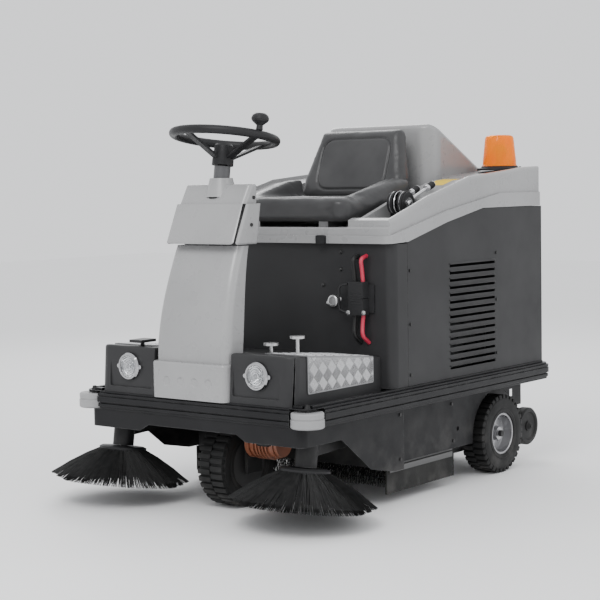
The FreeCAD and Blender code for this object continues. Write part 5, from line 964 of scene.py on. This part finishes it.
# %% [markdown]
# ## Levers
# Two levers turn on one pin between black friction discs. Each disc gets a black face with a
# milled edge, a chrome ring parts the two, and each rod ends in a short knurled grip.

# %% Lever discs, rods and grips
lever_spot = Vector((0, -0.021, 0.870))
slope = math.radians(20)
for label, x, reach in (("side_brush_lever", 0.303, 0.122), ("main_brush_lever", 0.337, 0.157)):
    disc_frame = along((1, 0, 0), lever_spot + Vector((x, 0, 0)))
    face = turned("face", [(0.011, 0.0068), (0.024, 0.0068), (0.026, 0.0078), (0.0335, 0.0078),
                           (0.0355, 0.0062), (0.0357, 0.002), (0.0347, 0.0), (0.0357, -0.002),
                           (0.0355, -0.0062), (0.0335, -0.0078), (0.026, -0.0078), (0.024, -0.0068),
                           (0.011, -0.0068), (0.009, -0.006), (0.009, 0.006)], 60, closed=True)
    teeth = []
    for number in range(30):
        tooth = rounded_block("tooth", (0.0016, 0.0026, 0.0035), (0.0353, 0, 0.0042), 0.0005, 1)
        teeth.append(place(tooth, Matrix.Rotation(math.radians(12 * number), 4, "Z")))
    discs = place(joined("disc", [face] + teeth), disc_frame)
    rod_frame = Matrix.Translation(lever_spot + Vector((x, 0, 0))) @ Matrix.Rotation(slope, 4, "X")
    grip_rings = [(0, reach - 0.0305), (0.0085, reach - 0.0305), (0.0105, reach - 0.0285)]
    for groove in range(5):
        base = reach - 0.0265 + 0.0048 * groove
        grip_rings += [(0.0108, base), (0.0108, base + 0.0024), (0.0102, base + 0.0030),
                       (0.0102, base + 0.0042)]
    grip_rings += [(0.0104, reach - 0.002), (0.008, reach + 0.0008), (0, reach + 0.0012)]
    grip = place(turned("grip", grip_rings, 28), rod_frame @ along((0, 1, 0)))
    settle(joined(label + "_black", [discs, grip]), label, "control_black", 30)
    collar = place(turned("collar", [(0.0052, 0.033), (0.0085, 0.033), (0.0085, 0.043), (0.0065, 0.045),
                                     (0.0052, 0.045)], 24, closed=True), rod_frame @ along((0, 1, 0)))
    settle(collar, label, "lever_chrome", 30).name = label + "_collar"
ring = place(turned("ring", [(0.0325, -0.0012), (0.0362, -0.0012), (0.0366, 0.0), (0.0362, 0.0012),
                             (0.0325, 0.0012)], 60, closed=True),
             along((1, 0, 0), lever_spot + Vector((0.320, 0, 0))))
outer_cap = place(turned("outer_cap", [(0.0, 0.0105), (0.006, 0.0103), (0.0075, 0.009), (0.0085, 0.005),
                                       (0.016, 0.0045), (0.0165, 0.0)], 32),
                  along((1, 0, 0), lever_spot + Vector((0.3475, 0, 0))))
settle(joined("lever_chrome_parts", [ring, outer_cap]), "hood", "lever_chrome", 30)

# %% [markdown]
# ## Louvres
# Each vent slot in the side doors was punched from a flap that still leans out above it. One
# rounded flap is shaped from a block and copied down both sides.

# %% Vent flaps
flap = rounded_block("flap", (0.0070, 0.264, 0.0080), (0, 0, 0), 0.0024, 3)
choose(flap, lambda face: face.center.z > 0.002)
bpy.ops.transform.translate(value=(-0.0046, 0, 0))
bpy.ops.object.mode_set(mode="OBJECT")
flaps = []
for sign in (1, -1):
    for number in range(15):
        spot = Vector((0.4062 * sign, 0.240, 0.366 + 0.022 * number + 0.0122))
        mirror = Matrix.Identity(4) if sign > 0 else Matrix.Scale(-1, 4, (1, 0, 0))
        flaps.append(copy_of(flap, Matrix.Translation(spot) @ mirror))
bpy.data.objects.remove(flap)
settle(joined("vent_flaps", flaps), "chassis", "panel_charcoal", 40)

# %% [markdown]
# ## On the front panel
# The battery plug has a pull loop and two screws, and the charging socket beside it has a hinged
# cap. A few domed bolts hold the panel.

# %% Plug loop, socket and bolts
plug_low = corners_of("battery_connector")[0]
loop = tube("loop", [(0.262, -0.214, 0.640), (0.244, -0.2195, 0.638), (0.237, -0.2215, 0.628),
                     (0.236, -0.222, 0.604), (0.236, -0.222, 0.580), (0.240, -0.2215, 0.566),
                     (0.252, -0.2185, 0.560), (0.264, -0.214, 0.560)], 0.008)
ribs = [rounded_block("rib", (0.040, 0.0022, 0.0030), (0.298, plug_low.y + 0.0004, 0.585 + 0.0075 * k),
                      0.0008, 2) for k in range(5)]
settle(joined("plug_details", [loop] + ribs), "chassis", "connector_black", 35)
socket = place(turned("socket", [(0, 0.0), (0.0175, 0.0), (0.0185, 0.002), (0.0175, 0.0105),
                                 (0.0155, 0.012), (0.012, 0.0125), (0.0115, 0.0112), (0.004, 0.0108),
                                 (0, 0.0108)], 36), along((0, -1, 0), (0.197, -0.19, 0.588)))
ears = [place(turned("ear", [(0, 0), (0.0062, 0), (0.0062, 0.003), (0.0048, 0.0036), (0.0022, 0.0038),
                             (0.0020, 0.003), (0, 0.003)], 20),
              along((0, -1, 0), (0.197 + 0.021 * k, -0.19, 0.588 + 0.006 * k))) for k in (-1, 1)]
settle(joined("charging_socket", [socket] + ears), "chassis", "pedal_steel", 35)
domes = []
for x, z in ((0.223, 0.732), (0.222, 0.681), (0.157, 0.634)):
    domes.append(place(turned("dome", [(0, 0.0), (0.0075, 0.0), (0.0075, 0.0008), (0.0048, 0.0012),
                                       (0.0044, 0.0032), (0.0028, 0.0044), (0, 0.0048)], 20),
                       along((0, -1, 0), (x, -0.1898, z))))
settle(joined("panel_bolts", domes), "chassis", "screw_black", 35)
plug_bolts = [place(bolt_head(0.0046, 0.0034), along((0, -1, 0), (x, plug_low.y + 0.0004, z)))
              for x, z in ((0.270, 0.5585), (0.325, 0.5595))]
settle(joined("plug_bolts", plug_bolts), "chassis", "pedal_steel", 30)

# %% [markdown]
# A plain yellow patch lies on the console behind the levers. It is a thin grid whose points are
# dropped onto the shell, so that it follows the slope.

# %% The yellow patch
finish("patch_yellow", ((0.74, 0.50, 0.012), (0.80, 0.56, 0.02)), (0.35, 0.48), (300, 0.06),
       wear=((0.6, 0.5, 0.3), 0.3))
shell = nodes["upper_shell"]
deselect()
bpy.ops.mesh.primitive_grid_add(x_subdivisions=10, y_subdivisions=12, size=1)
patch = bpy.context.object
patch.name = patch.data.name = "yellow_patch"
into_shell = shell.matrix_world.inverted()
for vertex in patch.data.vertices:
    spot = Vector((0.300 + 0.060 * vertex.co.x, 0.241 + 0.100 * vertex.co.y, 1.2))
    hit, where, _, _ = shell.ray_cast(into_shell @ spot, into_shell.to_3x3() @ Vector((0, 0, -1)))
    vertex.co = shell.matrix_world @ where + Vector((0, 0, 0.0004)) if hit else spot
add_modifier(patch, "SOLIDIFY", thickness=0.0006, offset=-1)
settle(patch, "hood", "beacon_amber", 40)
dress(patch, "patch_yellow")

# %% [markdown]
# ## Under the front
# The drive motor hangs beside the front wheel. Cooling rings, a terminal block and two bright
# caps tell it from a plain drum.

# %% The drive motor
finish("cap_green", ((0.36, 0.42, 0.03), (0.44, 0.50, 0.05)), (0.4, 0.5), (300, 0.06))
motor_low, motor_high = corners_of("drive_motor")
motor_mid = (motor_low + motor_high) / 2
motor_radius = (motor_high.z - motor_low.z) / 2
motor_rings = []
for number in range(5):
    shift = motor_low.x + 0.030 + 0.012 * number
    motor_rings.append(place(turned("motor_ring", [(motor_radius - 0.002, -0.002),
                                                   (motor_radius + 0.0015, -0.0016),
                                                   (motor_radius + 0.0015, 0.0016),
                                                   (motor_radius - 0.002, 0.002)], 56, closed=True),
                             along((1, 0, 0), (shift, motor_mid.y, motor_mid.z))))
settle(joined("motor_rings", motor_rings), "fork", "motor_copper", 30)
box_spot = (motor_mid.x + 0.018, motor_mid.y - motor_radius - 0.002, motor_mid.z + 0.014)
settle(rounded_block("motor_terminals", (0.042, 0.016, 0.030), box_spot, 0.003, 3), "fork",
       "control_black", 35)
caps = [place(turned("wire_cap",
                     [(0, 0), (0.006, 0), (0.0072, 0.003), (0.0072, 0.012), (0.0052, 0.016), (0, 0.017)],
                     20),
              along((0, -1, 0.15), (box_spot[0] + shift, box_spot[1] - 0.007, box_spot[2] + 0.003)))
        for shift in (-0.011, 0.011)]
wire_caps = settle(joined("wire_caps", caps), "fork", "beacon_amber", 35)
dress(wire_caps, "cap_green")

# %% [markdown]
# ## Battery leads
# Each lead shows in two short stretches: out of the panel and down into the plug, and out of the
# plug and back through the panel. The routes are the CAD model's own points. The runs between
# them stay straight, and each corner is rounded over a little less than half of the shorter run.

# %% Four stretches of lead
def rounded_route(points, steps=8):
    """A line through points whose inner corners are rounded."""
    line = [points[0]]
    for before, here, after in zip(points, points[1:], points[2:]):
        back, ahead = before - here, after - here
        reach = 0.45 * min(back.length, ahead.length)
        arrive, leave = here + back.normalized() * reach, here + ahead.normalized() * reach
        for step in range(steps + 1):
            t = step / steps
            line.append(arrive * (1 - t) ** 2 + here * 2 * t * (1 - t) + leave * t * t)
    return line + [points[-1]]


for colour, x in (("red", 0.314), ("black", 0.286)):
    above = [Vector((x, -0.189, 0.722)), Vector((x, -0.219, 0.714)), Vector((x - 0.002, -0.210, 0.682)),
             Vector((x - 0.001, -0.207, 0.648))]
    below = [Vector((x - 0.001, -0.207, 0.552)), Vector((x - 0.002, -0.211, 0.522)),
             Vector((x + 0.003, -0.219, 0.492)), Vector((x + 0.006, -0.189, 0.470))]
    for part, points in (("upper", above), ("lower", below)):
        route = rounded_route(points)
        lead = tube("lead_%s_%s" % (colour, part), route, 0.012)
        settle(lead, "chassis", "lead_" + colour, 60, ["cable_" + colour])
